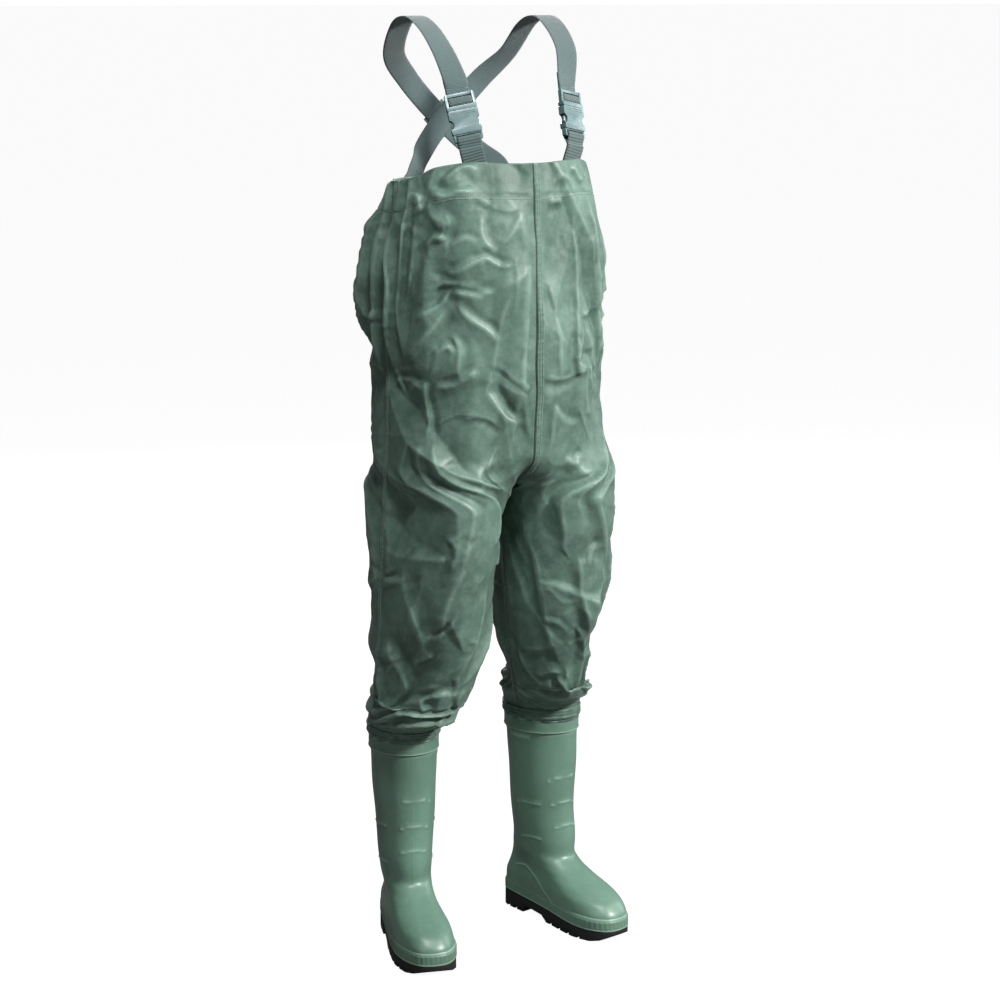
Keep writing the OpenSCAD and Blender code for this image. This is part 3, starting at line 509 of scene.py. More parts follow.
def garmentPoint(a, v):
    cut, r = garmentCut, np.radians
    depth = np.where(np.abs(a) < 90, between(v, cut["front"]), between(v, cut["back"]))
    body = [between(v, cut["side"]) * power(np.sin(r(a)), cut["round"]),
            -depth * power(np.cos(r(a)), cut["round"])]
    low = np.maximum(v, 1)
    turn = r(cut["toeOut"] * smooth((low - 1.5) * 2))
    dx, dy = -between(low, cut["legW"]) * np.cos(r(2 * a)), -between(low, cut["legD"]) * np.sin(r(2 * a))
    leg = [between(low, cut["legX"]) + dx * np.cos(turn) - dy * np.sin(turn),
           between(low, cut["legY"]) + dx * np.sin(turn) + dy * np.cos(turn)]
    merge = np.where(v < 1, smooth((1 - v) / cut["dip"]), 0)
    x, y = (leg[i] * (1 - merge) + body[i] * merge for i in (0, 1))
    y = y * (1 + 0.5 * merge * (1 - merge))
    hem = hemHeight(a)
    z = np.where(v < 1, hem + (cut["crotch"] - hem) * v,
                 cut["crotch"] + (cut["bootRim"] - cut["crotch"]) * (v - 1))
    return np.stack([x, y + cut["shiftY"], z], -1) / 1000


angles = np.linspace(0, 180, 61)
levels = np.concatenate([np.linspace(0, 1, 56), np.linspace(1, 2, 50)[1:]])
crotchRow = 55
restGrid = garmentPoint(*np.meshgrid(angles, levels))
restGrid[:crotchRow + 1, [0, -1], 0] = 0
flip = np.array([-1.0, 1, 1])
restHalves = [restGrid * flip, restGrid.copy()]  # right, left
levelGrid = levels[:, None] + 0 * angles[None, :]
angleGrid = angles[None, :] + 0 * levels[:, None]
# the wearer's left leg hangs slimmer on its outer side, and the right side of the back billows
uneven = {"slimLeg": 0.040, "billowOut": 0.012, "billowBack": 0.006, "trimSide": 0.010}
slim = smooth((levelGrid - 1.25) / 0.30) * smooth((1.93 - levelGrid) / 0.32)
restHalves[1][..., 0] -= uneven["slimLeg"] * slim * smooth((restHalves[1][..., 0] - 0.10) / 0.10)
billow = np.exp(-((levelGrid - 0.3) / 0.16) ** 2) * np.exp(-((angleGrid - 112) / 26) ** 2)
restHalves[0][..., 0] -= uneven["billowOut"] * billow
restHalves[0][..., 1] += uneven["billowBack"] * billow
# right and left leg: levels of the snug end, pinned rows, cuff and creases, and the height of the rings
legEnd = {"snug": (1.905, 1.872), "pinned": (1.925, 1.895), "cuff": (1.93, 1.895), "creased": (1.915, 1.88),
          "rings": (0.0046, 0.0026)}
for half, top in enumerate(legEnd["snug"]):
    rim = restHalves[half][-1]
    centre = rim.mean(0)
    snug = smooth((levelGrid - top) / 0.034)[..., None] * np.array([1, 1, 0])
    restHalves[half] = restHalves[half] * (1 - snug) + (centre + (rim - centre) * 1.045)[None] * snug
trim = smooth(levelGrid / 0.12) * smooth((1.06 - levelGrid) / 0.1) * np.exp(-((angleGrid - 84) / 34) ** 2)
restHalves[1][..., 0] -= uneven["trimSide"] * trim


def joinHalves(halves):
    # One connected mesh: the halves share the front and back centre down to the crotch, and each leg closes.
    rows, cols = halves[0].shape[:2]
    ids = np.zeros((2, rows, cols), int)
    points = []
    for half in (0, 1):
        for r in range(rows):
            for c in range(cols):
                if half == 1 and r <= crotchRow and c in (0, cols - 1):
                    ids[1, r, c] = ids[0, r, c]
                elif c == cols - 1 and r >= crotchRow:
                    ids[half, r, c] = ids[half, r, 0]
                else:
                    ids[half, r, c] = len(points)
                    points.append(halves[half][r, c])
    faces = []
    for half in (0, 1):
        i = ids[half]
        quads = np.stack([i[:-1, :-1], i[1:, :-1], i[1:, 1:], i[:-1, 1:]], -1).reshape(-1, 4)
        faces.append(quads[:, ::-1] if half == 0 else quads)
    return ids, np.array(points), np.concatenate(faces)


drape = {"frames": 44, "grow": 0.034, "cap": 0.034, "bend": 3.5, "smoothing": 5, "finer": 3, "evening": 26,
         "formLeg": 0.80, "formBody": (0.94, 0.92, 1), "stretch": 22, "shear": 9, "gap": 0.004}


def hangCloth(halves):
    ids, points, faces = joinHalves(halves)
    start = points + np.random.RandomState(11).normal(0, 0.0012, points.shape)
    pinned = np.zeros(len(points), bool)
    pinned[ids[:, :2, :].ravel()] = True
    for half, top in enumerate(legEnd["pinned"]):
        pinned[ids[half, levels >= top, :].ravel()] = True
    start[pinned] = points[pinned]
    cloth = meshPiece("clothWork", start, faces, "shell")
    group = cloth.vertex_groups.new(name="pin")
    group.add(np.nonzero(pinned)[0].tolist(), 1.0, "REPLACE")
    # the wearer's room: a hidden form a little inside the cloth
    formPoints = []
    for half, side in enumerate(halves):
        leg = side[crotchRow + 1:].mean(1, keepdims=True)
        formPoints.append(side.copy())
        formPoints[-1][crotchRow + 1:] = leg + (side[crotchRow + 1:] - leg) * drape["formLeg"]
        body = side[:crotchRow + 1]
        middle = body[:, :1] * [0, 0, 1] + [0, -0.017, 0]
        squeezed = middle + (body - middle) * np.array(drape["formBody"])
        squeezed[:, [0, -1], 0] = 0
        formPoints[-1][:crotchRow + 1] = squeezed
        formPoints[-1][..., 2] = side[..., 2]
    _, formMesh, formFaces = joinHalves(formPoints)
    form = meshPiece("formWork", formMesh, formFaces, "shell")
    form.modifiers.new("collision", "COLLISION")
    form.collision.thickness_outer = drape["gap"]
    form.collision.cloth_friction = 8
    modifier = cloth.modifiers.new("cloth", "CLOTH")
    s = modifier.settings
    s.vertex_group_mass, s.quality, s.mass, s.air_damping = "pin", 7, 0.22, 1.6
    s.tension_stiffness = s.compression_stiffness = drape["stretch"]
    s.shear_stiffness, s.bending_stiffness = drape["shear"], drape["bend"]
    s.tension_damping = s.compression_damping = 8
    s.bending_damping = 0.6
    s.shrink_min = s.shrink_max = -drape["grow"]
    modifier.collision_settings.distance_min = drape["gap"]
    modifier.collision_settings.collision_quality = 3
    modifier.point_cache.frame_start, modifier.point_cache.frame_end = 1, drape["frames"]
    scene = bpy.context.scene
    for step in range(1, drape["frames"] + 1):
        scene.frame_set(step)
    shape = cloth.evaluated_get(bpy.context.evaluated_depsgraph_get()).to_mesh()
    final = np.zeros(len(points) * 3)
    shape.vertices.foreach_get("co", final)
    final = final.reshape(-1, 3)
    moved = final - points
    length = np.linalg.norm(moved, axis=1, keepdims=True)
    final = points + moved * np.minimum(1, drape["cap"] / np.maximum(length, 1e-6))
    print("cloth moved: middle %.1f mm, most %.1f mm" % (np.median(length) * 1000, length.max() * 1000))
    for work in (cloth, form):
        bpy.data.objects.remove(work)
    scene.frame_set(1)
    for block in [m for m in bpy.data.meshes if m.users == 0]:
        bpy.data.meshes.remove(block)
    shift = [final[ids[half]] - halves[half] for half in (0, 1)]
    for k in range(drape["smoothing"]):  # the drape gives the broad folds and the creases give the sharp ones
        for field in shift:
            field[1:-1, 1:-1] += 0.6 * (neighbourMean(field) - field[1:-1, 1:-1])
            for col in (0, -1):
                field[1:-1, col] += 0.6 * ((field[:-2, col] + field[2:, col]) / 2 - field[1:-1, col])
    settle = (1 - 0.8 * smooth((levels - 1.74) / 0.09))[:, None, None]
    return [halves[half] + shift[half] * settle for half in (0, 1)]


hungHalves = hangCloth(restHalves)
print("cloth hung")

# Creases as (half, angle, level, angle, level, height mm, width mm); half 0 is the wearer's right.
placedCreases = [
    (0, 42.5, 0.37, 22, 0.365, 4.0, 6), (0, 61, 0.43, 44, 0.365, 4.5, 7), (0, 44.5, 0.30, 27, 0.28, 3.6, 5),
    (0, 29, 0.27, 14, 0.285, 3.2, 5), (0, 59, 0.215, 47, 0.20, 3.4, 5), (0, 38, 0.40, 21, 0.50, 3.8, 6),
    (0, 48, 0.42, 65, 0.55, 4.2, 7), (0, 52, 0.52, 41, 0.53, 3.4, 5), (0, 41, 0.49, 37, 0.61, 3.0, 6),
    (0, 84, 0.60, 60, 0.625, 3.0, 5), (0, 50, 0.635, 30, 0.60, 3.2, 5), (0, 57, 0.62, 58, 0.78, 3.2, 5),
    (0, 13, 0.38, 26, 0.66, 3.4, 9),
    (0, 3, 0.27, 9, 0.80, 3.6, 9), (0, 99, 0.12, 96, 0.58, 13, 10), (0, 84, 0.16, 83, 0.56, 11, 8),
    (0, 74, 0.08, 76, 0.50, 9, 7), (0, 66, 0.12, 72, 0.46, 5, 7), (0, 108, 0.10, 112, 0.5, 12, 11),
    (0, 56, 0.08, 34, 0.085, 4.6, 6), (0, 52, 0.03, 32, 0.012, 4, 6), (0, 72, 0.05, 60, 0.11, 5, 7),
    (0, 30, 0.15, 24, 0.24, 2.2, 7), (0, 47, 0.14, 45, 0.22, 2.6, 6), (0, 24, 0.66, 8, 0.75, 4, 7),
    (1, 25, 0.17, 23, 0.60, 3.4, 6), (1, 38, 0.12, 46, 0.55, 4, 7), (1, 6, 0.34, 12, 0.60, 3.5, 9),
    (1, 50, 0.2, 55, 0.6, 5, 8), (1, 3, 0.62, 30, 0.62, 3, 5), (1, 20, 0.57, 25, 0.62, 3.4, 5),
    (1, 12, 0.06, 24, 0.05, 2.4, 7), (1, 26, 0.03, 36, 0.06, 3.4, 6), (1, 10, 0.1, 17, 0.13, 2.6, 7),
    (1, 44, 0.42, 58, 0.36, 4.4, 6), (1, 42, 0.52, 56, 0.45, 4.4, 6), (1, 40, 0.62, 52, 0.55, 4, 6),
    (0, 52, 0.80, 30, 1.12, 6, 12), (0, 62, 0.82, 52, 1.2, 5, 10), (1, 52, 0.80, 34, 1.15, 6, 12),
    (1, 64, 0.84, 60, 1.25, 5, 10), (0, 20, 0.86, 40, 0.94, 5, 9), (1, 20, 0.88, 42, 0.92, 5, 9),
    (0, 83, 1.50, 68, 1.70, 7, 7), (0, 70, 1.73, 40, 1.70, 5, 6), (0, 58, 1.70, 56, 1.80, 5, 6),
    (0, 84, 1.74, 62, 1.82, 7, 8), (0, 62, 1.82, 30, 1.80, 6, 6), (0, 88, 1.60, 84, 1.76, 5, 7),
    (0, 50, 1.20, 60, 1.48, 4, 9), (0, 76, 1.22, 66, 1.52, 5, 9), (0, 34, 1.30, 42, 1.62, 4, 8),
    (1, 50, 1.55, 42, 1.76, 7, 8), (1, 66, 1.60, 52, 1.80, 6, 7), (1, 30, 1.70, 36, 1.86, 6, 6),
    (1, 70, 1.78, 52, 1.86, 6, 6), (1, 40, 1.22, 50, 1.52, 5, 9), (1, 20, 1.20, 30, 1.62, 5, 9),
    (1, 66, 1.20, 72, 1.55, 5, 9), (1, 20, 1.86, 60, 1.885, 5, 6), (0, 20, 1.88, 70, 1.89, 5, 6),
]
scatter = {"seed": 23, "body": 46, "leg": 44}


def creaseField(half, across, down):
    # across and down are the metre distances of the flat cloth from the front centre and from the hem.
    pick = np.random.RandomState(scatter["seed"] + half)
    lines = [line[1:] for line in placedCreases if line[0] == half]
    for k in range(scatter["body"]):
        a, v = pick.uniform(6, 174), pick.uniform(0.1, 0.98)
        slant, reach = pick.normal(0, 0.8), pick.uniform(0.02, 0.085)
        lines.append((a, v, a + 190 * reach * math.cos(slant) / 0.5, v + reach * 2 * math.sin(slant),
                      pick.choice([-1, 1]) * pick.uniform(0.6, 2.6), pick.uniform(2.5, 6.5)))
    for k in range(scatter["leg"]):
        a, v = pick.uniform(4, 176), pick.uniform(1.02, 1.9)
        slant, reach = pick.normal(1.0, 0.7) * pick.choice([-1, 1]), pick.uniform(0.02, 0.08)
        lines.append((a, v, a + 300 * reach * math.cos(slant), v + 2.2 * reach * math.sin(slant),
                      pick.choice([-1, 1]) * pick.uniform(0.8, 3.4), pick.uniform(3, 7)))
    height = np.zeros_like(across)
    rows, cols = across.shape
    fineLevels = np.interp(np.linspace(0, 1, rows), np.linspace(0, 1, len(levels)), levels)
    wholeGrid = np.stack([across, down], -1)

    def onCloth(a, v):
        r = np.interp(v, fineLevels, np.arange(rows))
        c = np.clip(a, 0, 180) / 180 * (cols - 1)
        return wholeGrid[int(round(r)), int(round(c))]
    for a0, v0, a1, v1, tall, wide in lines:
        start, end = onCloth(a0, v0), onCloth(a1, v1)
        along = end - start
        length = max(np.linalg.norm(along), 1e-4)
        along = along / length
        offset = wholeGrid - start
        t = (offset @ along) / length
        side = offset @ np.array([-along[1], along[0]])
        side = side + 0.004 * np.sin(t * 5 + a0)  # a fold is never quite straight
        w = 0.8 * wide / 1000
        ends = smooth((t + 0.12) / 0.3) * smooth((1.12 - t) / 0.3)
        fold = np.where(side < 0, np.exp(side / (3.4 * w)), np.exp(-side / (0.8 * w)))
        valley = 0.45 * np.exp(-((side - 2.2 * w) / (1.5 * w)) ** 2)
        height += 1.35 * tall / 1000 * ends * (fold - valley)
    return height + crumple(half, across, down)


def facets(across, down, seed, spacing, turn, stretch):
    # Heights from -1 to 1 on scattered points joined by flat triangles, as crisp cloth breaks into flat fields.
    pick = np.random.RandomState(seed)
    alongA = across * math.cos(turn) + down * math.sin(turn)
    alongB = (down * math.cos(turn) - across * math.sin(turn)) / stretch
    low = np.array([alongA.min(), alongB.min()]) - 2 * spacing
    high = np.array([alongA.max(), alongB.max()]) + 2 * spacing
    count = int(np.prod((high - low) / spacing))
    spots = pick.uniform(low, high, (count, 2))
    tall = np.tanh(pick.normal(0, 1, count))
    corners = delaunay_2d_cdt([Vector(spot) for spot in spots], [], [], 0, 1e-6)
    total = np.zeros_like(across)
    for face in corners[2]:
        ids = [corners[3][k][0] for k in face]
        (x0, y0), (x1, y1), (x2, y2) = spots[ids]
        area = (x1 - x0) * (y2 - y0) - (x2 - x0) * (y1 - y0)
        if abs(area) < 1e-9:
            continue
        one = ((alongA - x0) * (y2 - y0) - (x2 - x0) * (alongB - y0)) / area
        two = ((x1 - x0) * (alongB - y0) - (alongA - x0) * (y1 - y0)) / area
        inside = (one >= 0) & (two >= 0) & (one + two <= 1)
        flat = (1 - one - two) * tall[ids[0]] + one * tall[ids[1]] + two * tall[ids[2]]
        total[inside] = flat[inside]
    return total


crumpled = {  # lean of each half in radians; spacing and height in metres, stretch along the lean
    "lean": (0.45, -0.35), "broad": (0.085, 1.7, 0.012), "middle": (0.046, 1.4, 0.0066),
    "small": (0.024, 1.3, 0.0021),
    "calm": 0.16,
}


def crumple(half, across, down):
    look, lean = crumpled, crumpled["lean"][half]
    broad = facets(across, down, 31 + half, look["broad"][0], lean, look["broad"][1])
    middle = facets(across, down, 41 + half, look["middle"][0], -lean, look["middle"][1])
    small = facets(across, down, 51 + half, look["small"][0], lean * 1.6, look["small"][1])
    busy = smooth(facets(across, down, 61 + half, look["calm"], 0, 1) + 0.4)
    return (look["broad"][2] * broad + look["middle"][2] * middle * (0.3 + 0.7 * busy)
            + look["small"][2] * small * busy)


gathered = {"hem": 0.0075, "pitch": 0.034, "cuff": 0.0013, "cuffPitch": 0.011, "stitched": 0.050}


def gathers(half, a, v, across, down):
    # The elastic hem draws the sides and the back into ripples, and the legs are ringed above the boots.
    phase = 0.6 * np.sin(across * 37 + half * 2) + 0.4 * np.sin(across * 91)
    ripple = np.sin(across * 2 * math.pi / gathered["pitch"] + 2.2 * phase)
    pull = smooth((a - 62) / 26) * np.exp(-down / 0.11) * smooth(down / 0.012)
    pull *= 1 - 0.9 * np.exp(-((a - 149) / 9) ** 2) * smooth((0.07 - down) / 0.03)  # flat under a brace end
    height = gathered["hem"] * pull * ripple
    cuffTop = legEnd["cuff"][half]
    low = smooth((v - 1.74) / 0.07) * smooth((cuffTop - v) / 0.03)
    wander = 0.014 * np.sin(np.radians(2 * a) + half) + 0.006 * np.sin(np.radians(6 * a) + 1.3)
    height += legEnd["rings"][half] * low * np.sin((down + wander) * 2 * math.pi / gathered["pitch"])
    cuff = smooth((v - cuffTop) / 0.01)
    height += gathered["cuff"] * cuff * np.abs(np.sin(down * math.pi / gathered["cuffPitch"])) ** 0.6
    edge = np.abs(down - gathered["stitched"])
    height += -0.0011 * np.exp(-(edge / 0.0022) ** 2)
    height += 0.0006 * smooth((gathered["stitched"] - down) / 0.003)
    return height


def clothNormals(surface, half):
    # Outward normals that agree where the halves meet and round each leg.
    dRow, dCol = np.gradient(surface, axis=0), np.gradient(surface, axis=1)
    normal = unit(np.cross(dRow, dCol)) * (-1 if half == 0 else 1)
    crotch = crotchRow * drape["finer"]
    normal[:crotch + 1, [0, -1], 0] = 0
    normal[crotch:, 0] = normal[crotch:, -1] = normal[crotch:, 0] + normal[crotch:, -1]
    return unit(normal)


def dressHalf(half):
    steps = drape["finer"]
    cloth, rest = (finer(finer(grid[half], steps, 0), steps, 1) for grid in (hungHalves, restHalves))
    rows, cols = cloth.shape[:2]
    across, down = distances(rest, 1), distances(rest, 0)
    a = np.linspace(0, 180, cols)[None, :] + np.zeros((rows, 1))
    v = np.interp(np.linspace(0, 1, rows), np.linspace(0, 1, len(levels)), levels)[:, None]
    v = v + np.zeros((1, cols))
    # the crowded rows above a boot are evened out before they are ringed
    crowded = (smooth((v - 1.76) / 0.05) * smooth((1.99 - v) / 0.02))[1:-1, :, None]
    for k in range(drape["evening"]):
        cloth[1:-1, 1:-1] += crowded[:, 1:-1] * (neighbourMean(cloth) - cloth[1:-1, 1:-1])
        ends = (cloth[:-2, [0, -1]] + cloth[2:, [0, -1]]) / 2
        cloth[1:-1, [0, -1]] += crowded[:, [0, -1]] * (ends - cloth[1:-1, [0, -1]]) * 0.9
    normal = clothNormals(cloth, half)
    folds = creaseField(half, across, down) * smooth((legEnd["creased"][half] - v) / 0.035)
    lift = folds + gathers(half, a, v, across, down)
    toSeam = np.minimum(across, across[:, -1:] - across)
    lift *= 0.12 + 0.88 * smooth(toSeam / 0.026)
    lift[:, -1] = lift[:, 0] = 0
    lift *= 1 - 0.75 * np.exp(-((a - 90) / 3.2) ** 2) * (v < 1.9)
    lift *= smooth((1.992 - v) / 0.01)
    lift *= 1 - 0.8 * np.exp(-((v - 1) / 0.06) ** 2) * np.exp(-(toSeam / 0.05) ** 2)  # calm round the crotch
    surface = cloth + normal * lift[..., None]
    # painted light: ridges are painted pale as a highlight and hollows dark as shade, from the lift against its
    # own neighbourhood
    blur = lift.copy()
    for k in range(5):
        blur[1:-1, 1:-1] = neighbourMean(blur)
    crease = np.clip(0.5 + (lift - blur) / 0.0016, 0, 1)
    return {"points": surface, "normal": clothNormals(surface, half), "across": across, "a": a, "v": v,
            "crease": crease, "uv": np.stack([across, down], -1)}


halves = [dressHalf(0), dressHalf(1)]
sideNames = ["right", "left"]
midCol = (halves[0]["points"].shape[1] - 1) // 2


def sheetArea(points):
    edgeA, edgeB = np.diff(points, axis=0)[:, :-1], np.diff(points, axis=1)[:-1]
    return float(np.linalg.norm(np.cross(edgeA, edgeB), axis=-1).sum())


for half, side in enumerate(sideNames):
    cloth = halves[half]
    for part, cols in (("front", slice(0, midCol + 1)), ("back", slice(midCol, None))):
        outer = cloth["points"][:, cols]
        inner = outer - cloth["normal"][:, cols] * fabricThick
        panel = closedBand(f"{side}{part.title()}Panel", outer, inner, "shell", cloth["uv"][:, cols],
                           marks={"crease": cloth["crease"][:, cols]}, flip=half == 0)
        keep(panel, [f"{side}_{part}_panel"])
        print(panel.name, "area %.3f m2" % sheetArea(outer))
print("panels dressed")


# bands, facings and seams on the dressed cloth
def clothSample(half, a, v, lift):
    # Points of the dressed cloth at angles and levels; an angle below 0 or past 180 is on the other half.
    a, v = np.broadcast_arrays(np.asarray(a, float), np.asarray(v, float))
    other = (a < 0) | (a > 180)
    turned = np.where(a < 0, -a, np.where(a > 180, 360 - a, a))
    result = np.zeros(a.shape + (3,))
    for which in (0, 1):
        cloth = halves[which]
        rows, cols = cloth["a"].shape
        r = np.interp(v, cloth["v"][:, 0], np.arange(rows))
        c = turned / 180 * (cols - 1)
        r0, c0 = np.clip(r.astype(int), 0, rows - 2), np.clip(c.astype(int), 0, cols - 2)
        fr, fc = (r - r0)[..., None], (c - c0)[..., None]
        total = 0
        for dr, wr in ((0, 1 - fr), (1, fr)):
            for dc, wc in ((0, 1 - fc), (1, fc)):
                total = total + wr * wc * (cloth["points"][r0 + dr, c0 + dc]
                                           + np.asarray(lift)[..., None] * cloth["normal"][r0 + dr, c0 + dc])
        mine = other == (which != half)
        result[mine] = total[mine]
    return result


def legSample(half, a, v, lift):  # round a leg, where the angle wraps on the same half
    return clothSample(half, np.mod(np.asarray(a, float), 180), v, lift)


def bandPiece(name, sample, half, aGrid, vGrid, low, thick, finish, loop=False, flip=False, crown=0.0):
    aGrid, vGrid = np.broadcast_arrays(aGrid, vGrid)
    profile = np.linspace(-1, 1, aGrid.shape[1])[None, :]
    top = low + thick + crown * (1 - profile ** 2) - thick * 0.5 * np.abs(profile) ** 12 * (not loop)
    outer = sample(half, aGrid, vGrid, top + 0 * vGrid)
    inner = sample(half, aGrid, vGrid, low + 0 * vGrid)
    across = distances(outer, 1)
    uv = np.stack([across - across[:, -1:] / 2, distances(outer, 0)], -1)
    return closedBand(name, outer, inner, finish, uv, loop, flip=flip)


def stitchLine(name, points, normals, finish, pitch=0.0042, long=0.0030, wide=0.00055):
    # One row of thread: a small closed spindle for each stitch.
    steps = np.concatenate([[0], np.cumsum(np.linalg.norm(np.diff(points, axis=0), axis=1))])
    places = np.arange(pitch / 2, steps[-1], pitch)
    def at(s, values): return np.stack([np.interp(s, steps, values[:, k]) for k in range(3)], -1)
    centre, up = at(places, points), unit(at(places, normals))
    along = unit(at(np.minimum(places + 0.001, steps[-1]), points) - at(np.maximum(places - 0.001, 0), points))
    out = np.cross(along, up)
    ring = []
    for t, size in ((-1, 0.35), (-0.5, 1), (0.5, 1), (1, 0.35)):
        for u, h in ((1, -0.4), (0.6, 0.9), (-0.6, 0.9), (-1, -0.4)):
            ring.append(centre + along * t * long / 2 + out * u * wide * size + up * h * wide * size)
    points = np.stack(ring, 1)
    faces = []
    for k in range(3):
        for j in range(4):
            n = (j + 1) % 4
            faces.append([4 * k + j, 4 * k + n, 4 * k + 4 + n, 4 * k + 4 + j])
    faces += [[3, 2, 1, 0], [12, 13, 14, 15]]
    whole = (np.arange(len(places))[:, None, None] * 16 + np.array(faces)[None]).reshape(-1, 4)
    return meshPiece(name, points.reshape(-1, 3), whole, finish, np.zeros((len(places) * 16, 2)))


def sampledStitches(name, sample, half, a, v, lift, finish, rise=0.002):
    a, v = np.broadcast_arrays(np.asarray(a, float), np.asarray(v, float))
    points, above = (sample(half, a, v, np.full(a.shape, height)) for height in (lift, lift + rise))
    piece = stitchLine(name, points, above - points, finish)
    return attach(piece, "waders")


def band(name, nodes, slot, *args, **more):
    return keep(bandPiece(name, *args, **more), nodes)


hemCut = {"deep": 0.0495, "panel": 0.499, "front": 89, "back": (91, 269), "elastic": (0.006, 0.043),
          "thick": 0.0011, "stitchRows": (0.0478, 0.0520), "stitchPanel": 0.508}
hemLevels = np.linspace(0.0012, hemCut["deep"], 9)[:, None] / hemCut["panel"]
frontAngles = np.linspace(-hemCut["front"], hemCut["front"], 73)[None, :]
backAngles = np.linspace(*hemCut["back"], 325)[None, :]
elasticLevels = np.linspace(*hemCut["elastic"], 5)[:, None] / hemCut["panel"]
facing = band("frontHemFacing", ["front_hem_facing"], "shell_fabric", clothSample, 1, frontAngles, hemLevels,
              -fabricThick - 0.0015, hemCut["thick"], "band")
band("chestElastic", ["chest_elastic"], "hem_elastic", clothSample, 1, backAngles, elasticLevels,
     -fabricThick - 0.0034, 0.0014, "elastic")
facing = band("backHemFacing", ["back_hem_facing"], "shell_fabric", clothSample, 1, backAngles, hemLevels,
              -fabricThick - 0.0050, hemCut["thick"], "band")


def widthAngles(half, v, offsets, centre):
    # Angles that lie the given metres to each side of a line down the cloth.
    cloth = halves[half]
    rows = np.interp(v.ravel(), cloth["v"][:, 0], np.arange(len(cloth["v"])))
    total = np.interp(rows, np.arange(len(cloth["v"])), cloth["across"][:, -1])
    return centre + np.asarray(offsets)[None, :] / total[:, None] * 180


seamCut = {"low": 0.0003, "flat": np.linspace(-0.004, 0.004, 7), "lap": np.linspace(0.0014, 0.0094, 7),
           "centreThick": 0.0007, "sideThick": 0.0006, "crown": 0.0002, "lapRows": (0.0030, 0.0078),
           "sideRows": (-0.0024, 0.0024), "lapShift": 0.0054}
seamRows = np.linspace(0.0, 0.9, 120)[:, None]
for name, node, offsets, centre in (("frontCentreSeam", "front_centre_seam", seamCut["lap"], 0),
                                    ("backCentreSeam", "back_centre_seam", seamCut["flat"], 180)):
    band(name, [node], "seam_tape", clothSample, 1, widthAngles(1, seamRows, offsets, centre), seamRows,
         seamCut["low"], seamCut["centreThick"], "seam", crown=seamCut["crown"])
for k, offset in enumerate(seamCut["lapRows"]):
    v = np.linspace(0.004, 0.895, 400)[:, None]
    for name, shift, centre in (("frontSeamStitch", 0, 0), ("backSeamStitch", seamCut["lapShift"], 180)):
        a = widthAngles(1, v, [offset - shift], centre)[:, 0]
        sampledStitches(f"{name}{k}", clothSample, 1, a, v[:, 0], 0.0013, "thread")
for k, deep in enumerate(hemCut["stitchRows"]):
    for half in (0, 1):
        a = np.linspace(0.3, 179.7, 420)
        v = np.full(a.shape, deep / hemCut["stitchPanel"])
        sampledStitches(f"{sideNames[half]}HemStitch{k}", clothSample, half, a, v, 0.0002, "thread", 0.0018)
for half, side in enumerate(sideNames):
    for name, node, sample, top, rows, centre in (("SideSeam", "side_seam", clothSample, 0.0, 240, 90),
                                                  ("Inseam", "inseam", legSample, 1.03, 120, 0)):
        v = np.linspace(top, 1.925, rows)[:, None]
        a = widthAngles(half, v, seamCut["flat"], centre)
        band(f"{side}{name}", [f"{side}_{node}"], "seam_tape", sample, half, a, v, seamCut["low"],
             seamCut["sideThick"], "seam", flip=half == 0, crown=seamCut["crown"])
    v = np.linspace(0.004, 1.92, 700)[:, None]
    for k, offset in enumerate(seamCut["sideRows"]):
        a = widthAngles(half, v, [offset], 90)[:, 0]
        sampledStitches(f"{side}SideStitch{k}", clothSample, half, a, v[:, 0], 0.0012, "thread")
    a, v = np.meshgrid(np.linspace(0, 180, 121)[:-1], np.linspace(1.945, 1.987, 13))
    ridges = 0.0012 * np.abs(np.sin(np.linspace(0, 3 * math.pi, 13)))[:, None]
    outer = legSample(half, a, v, 0.0012 + ridges + 0 * a)
    inner = legSample(half, a, v, seamCut["low"] + 0 * a)
    uv = np.stack([distances(outer, 1), distances(outer, 0)], -1)
    cuff = closedBand(f"{side}LegCuff", outer, inner, "band", uv, loop=True, flip=half == 0)
    keep(cuff, [f"{side}_leg_cuff"])
print("seams and bands sewn")

# braces
webCut = {"half": 0.019, "thick": 0.0018, "cols": 11}
buckleFrame = {"mouth": (98.444240, -98.486203, 1414.517268), "up": (0.07352787, 0.34109435, 0.93714903),
               "across": (0.93082108, 0.31385354, -0.18726473), "in": (-0.35800248, 0.88608724, -0.29442083)}
mouth, upDir, acrossDir, inDir = (np.array(buckleFrame[k]) for k in ("mouth", "up", "across", "in"))
mouth = mouth / 1000


def fromBuckle(x, y, z):
    return mouth + (x * acrossDir + y * inDir + z * upDir) / 1000


def splined(points, steps):
    return finer(np.array(points, float), steps, 0)


def strapPiece(name, points, across, finish):
    # Flat webbing along a path, with a rounded selvedge.
    points, across = np.asarray(points), np.asarray(across)
    along = unit(np.gradient(points, axis=0))
    wide = unit(across - (across * along).sum(1, keepdims=True) * along)
    normal = np.cross(along, wide)
    place = np.linspace(-1, 1, webCut["cols"])
    place = np.sign(place) * np.abs(place) ** 0.7
    body = points[:, None] + wide[:, None] * (place * webCut["half"])[None, :, None]
    thin = webCut["thick"] / 2 * (1 - 0.55 * np.abs(place) ** 14)
    outer = body + normal[:, None] * thin[None, :, None]
    inner = body - normal[:, None] * thin[None, :, None]
    lengths = np.concatenate([[0], np.cumsum(np.linalg.norm(np.diff(points, axis=0), axis=1))])
    uv = np.stack(np.broadcast_arrays(place[None] * webCut["half"], lengths[:, None]), -1)
    return closedBand(name, outer, inner, finish, uv, flip=True), lengths[-1]


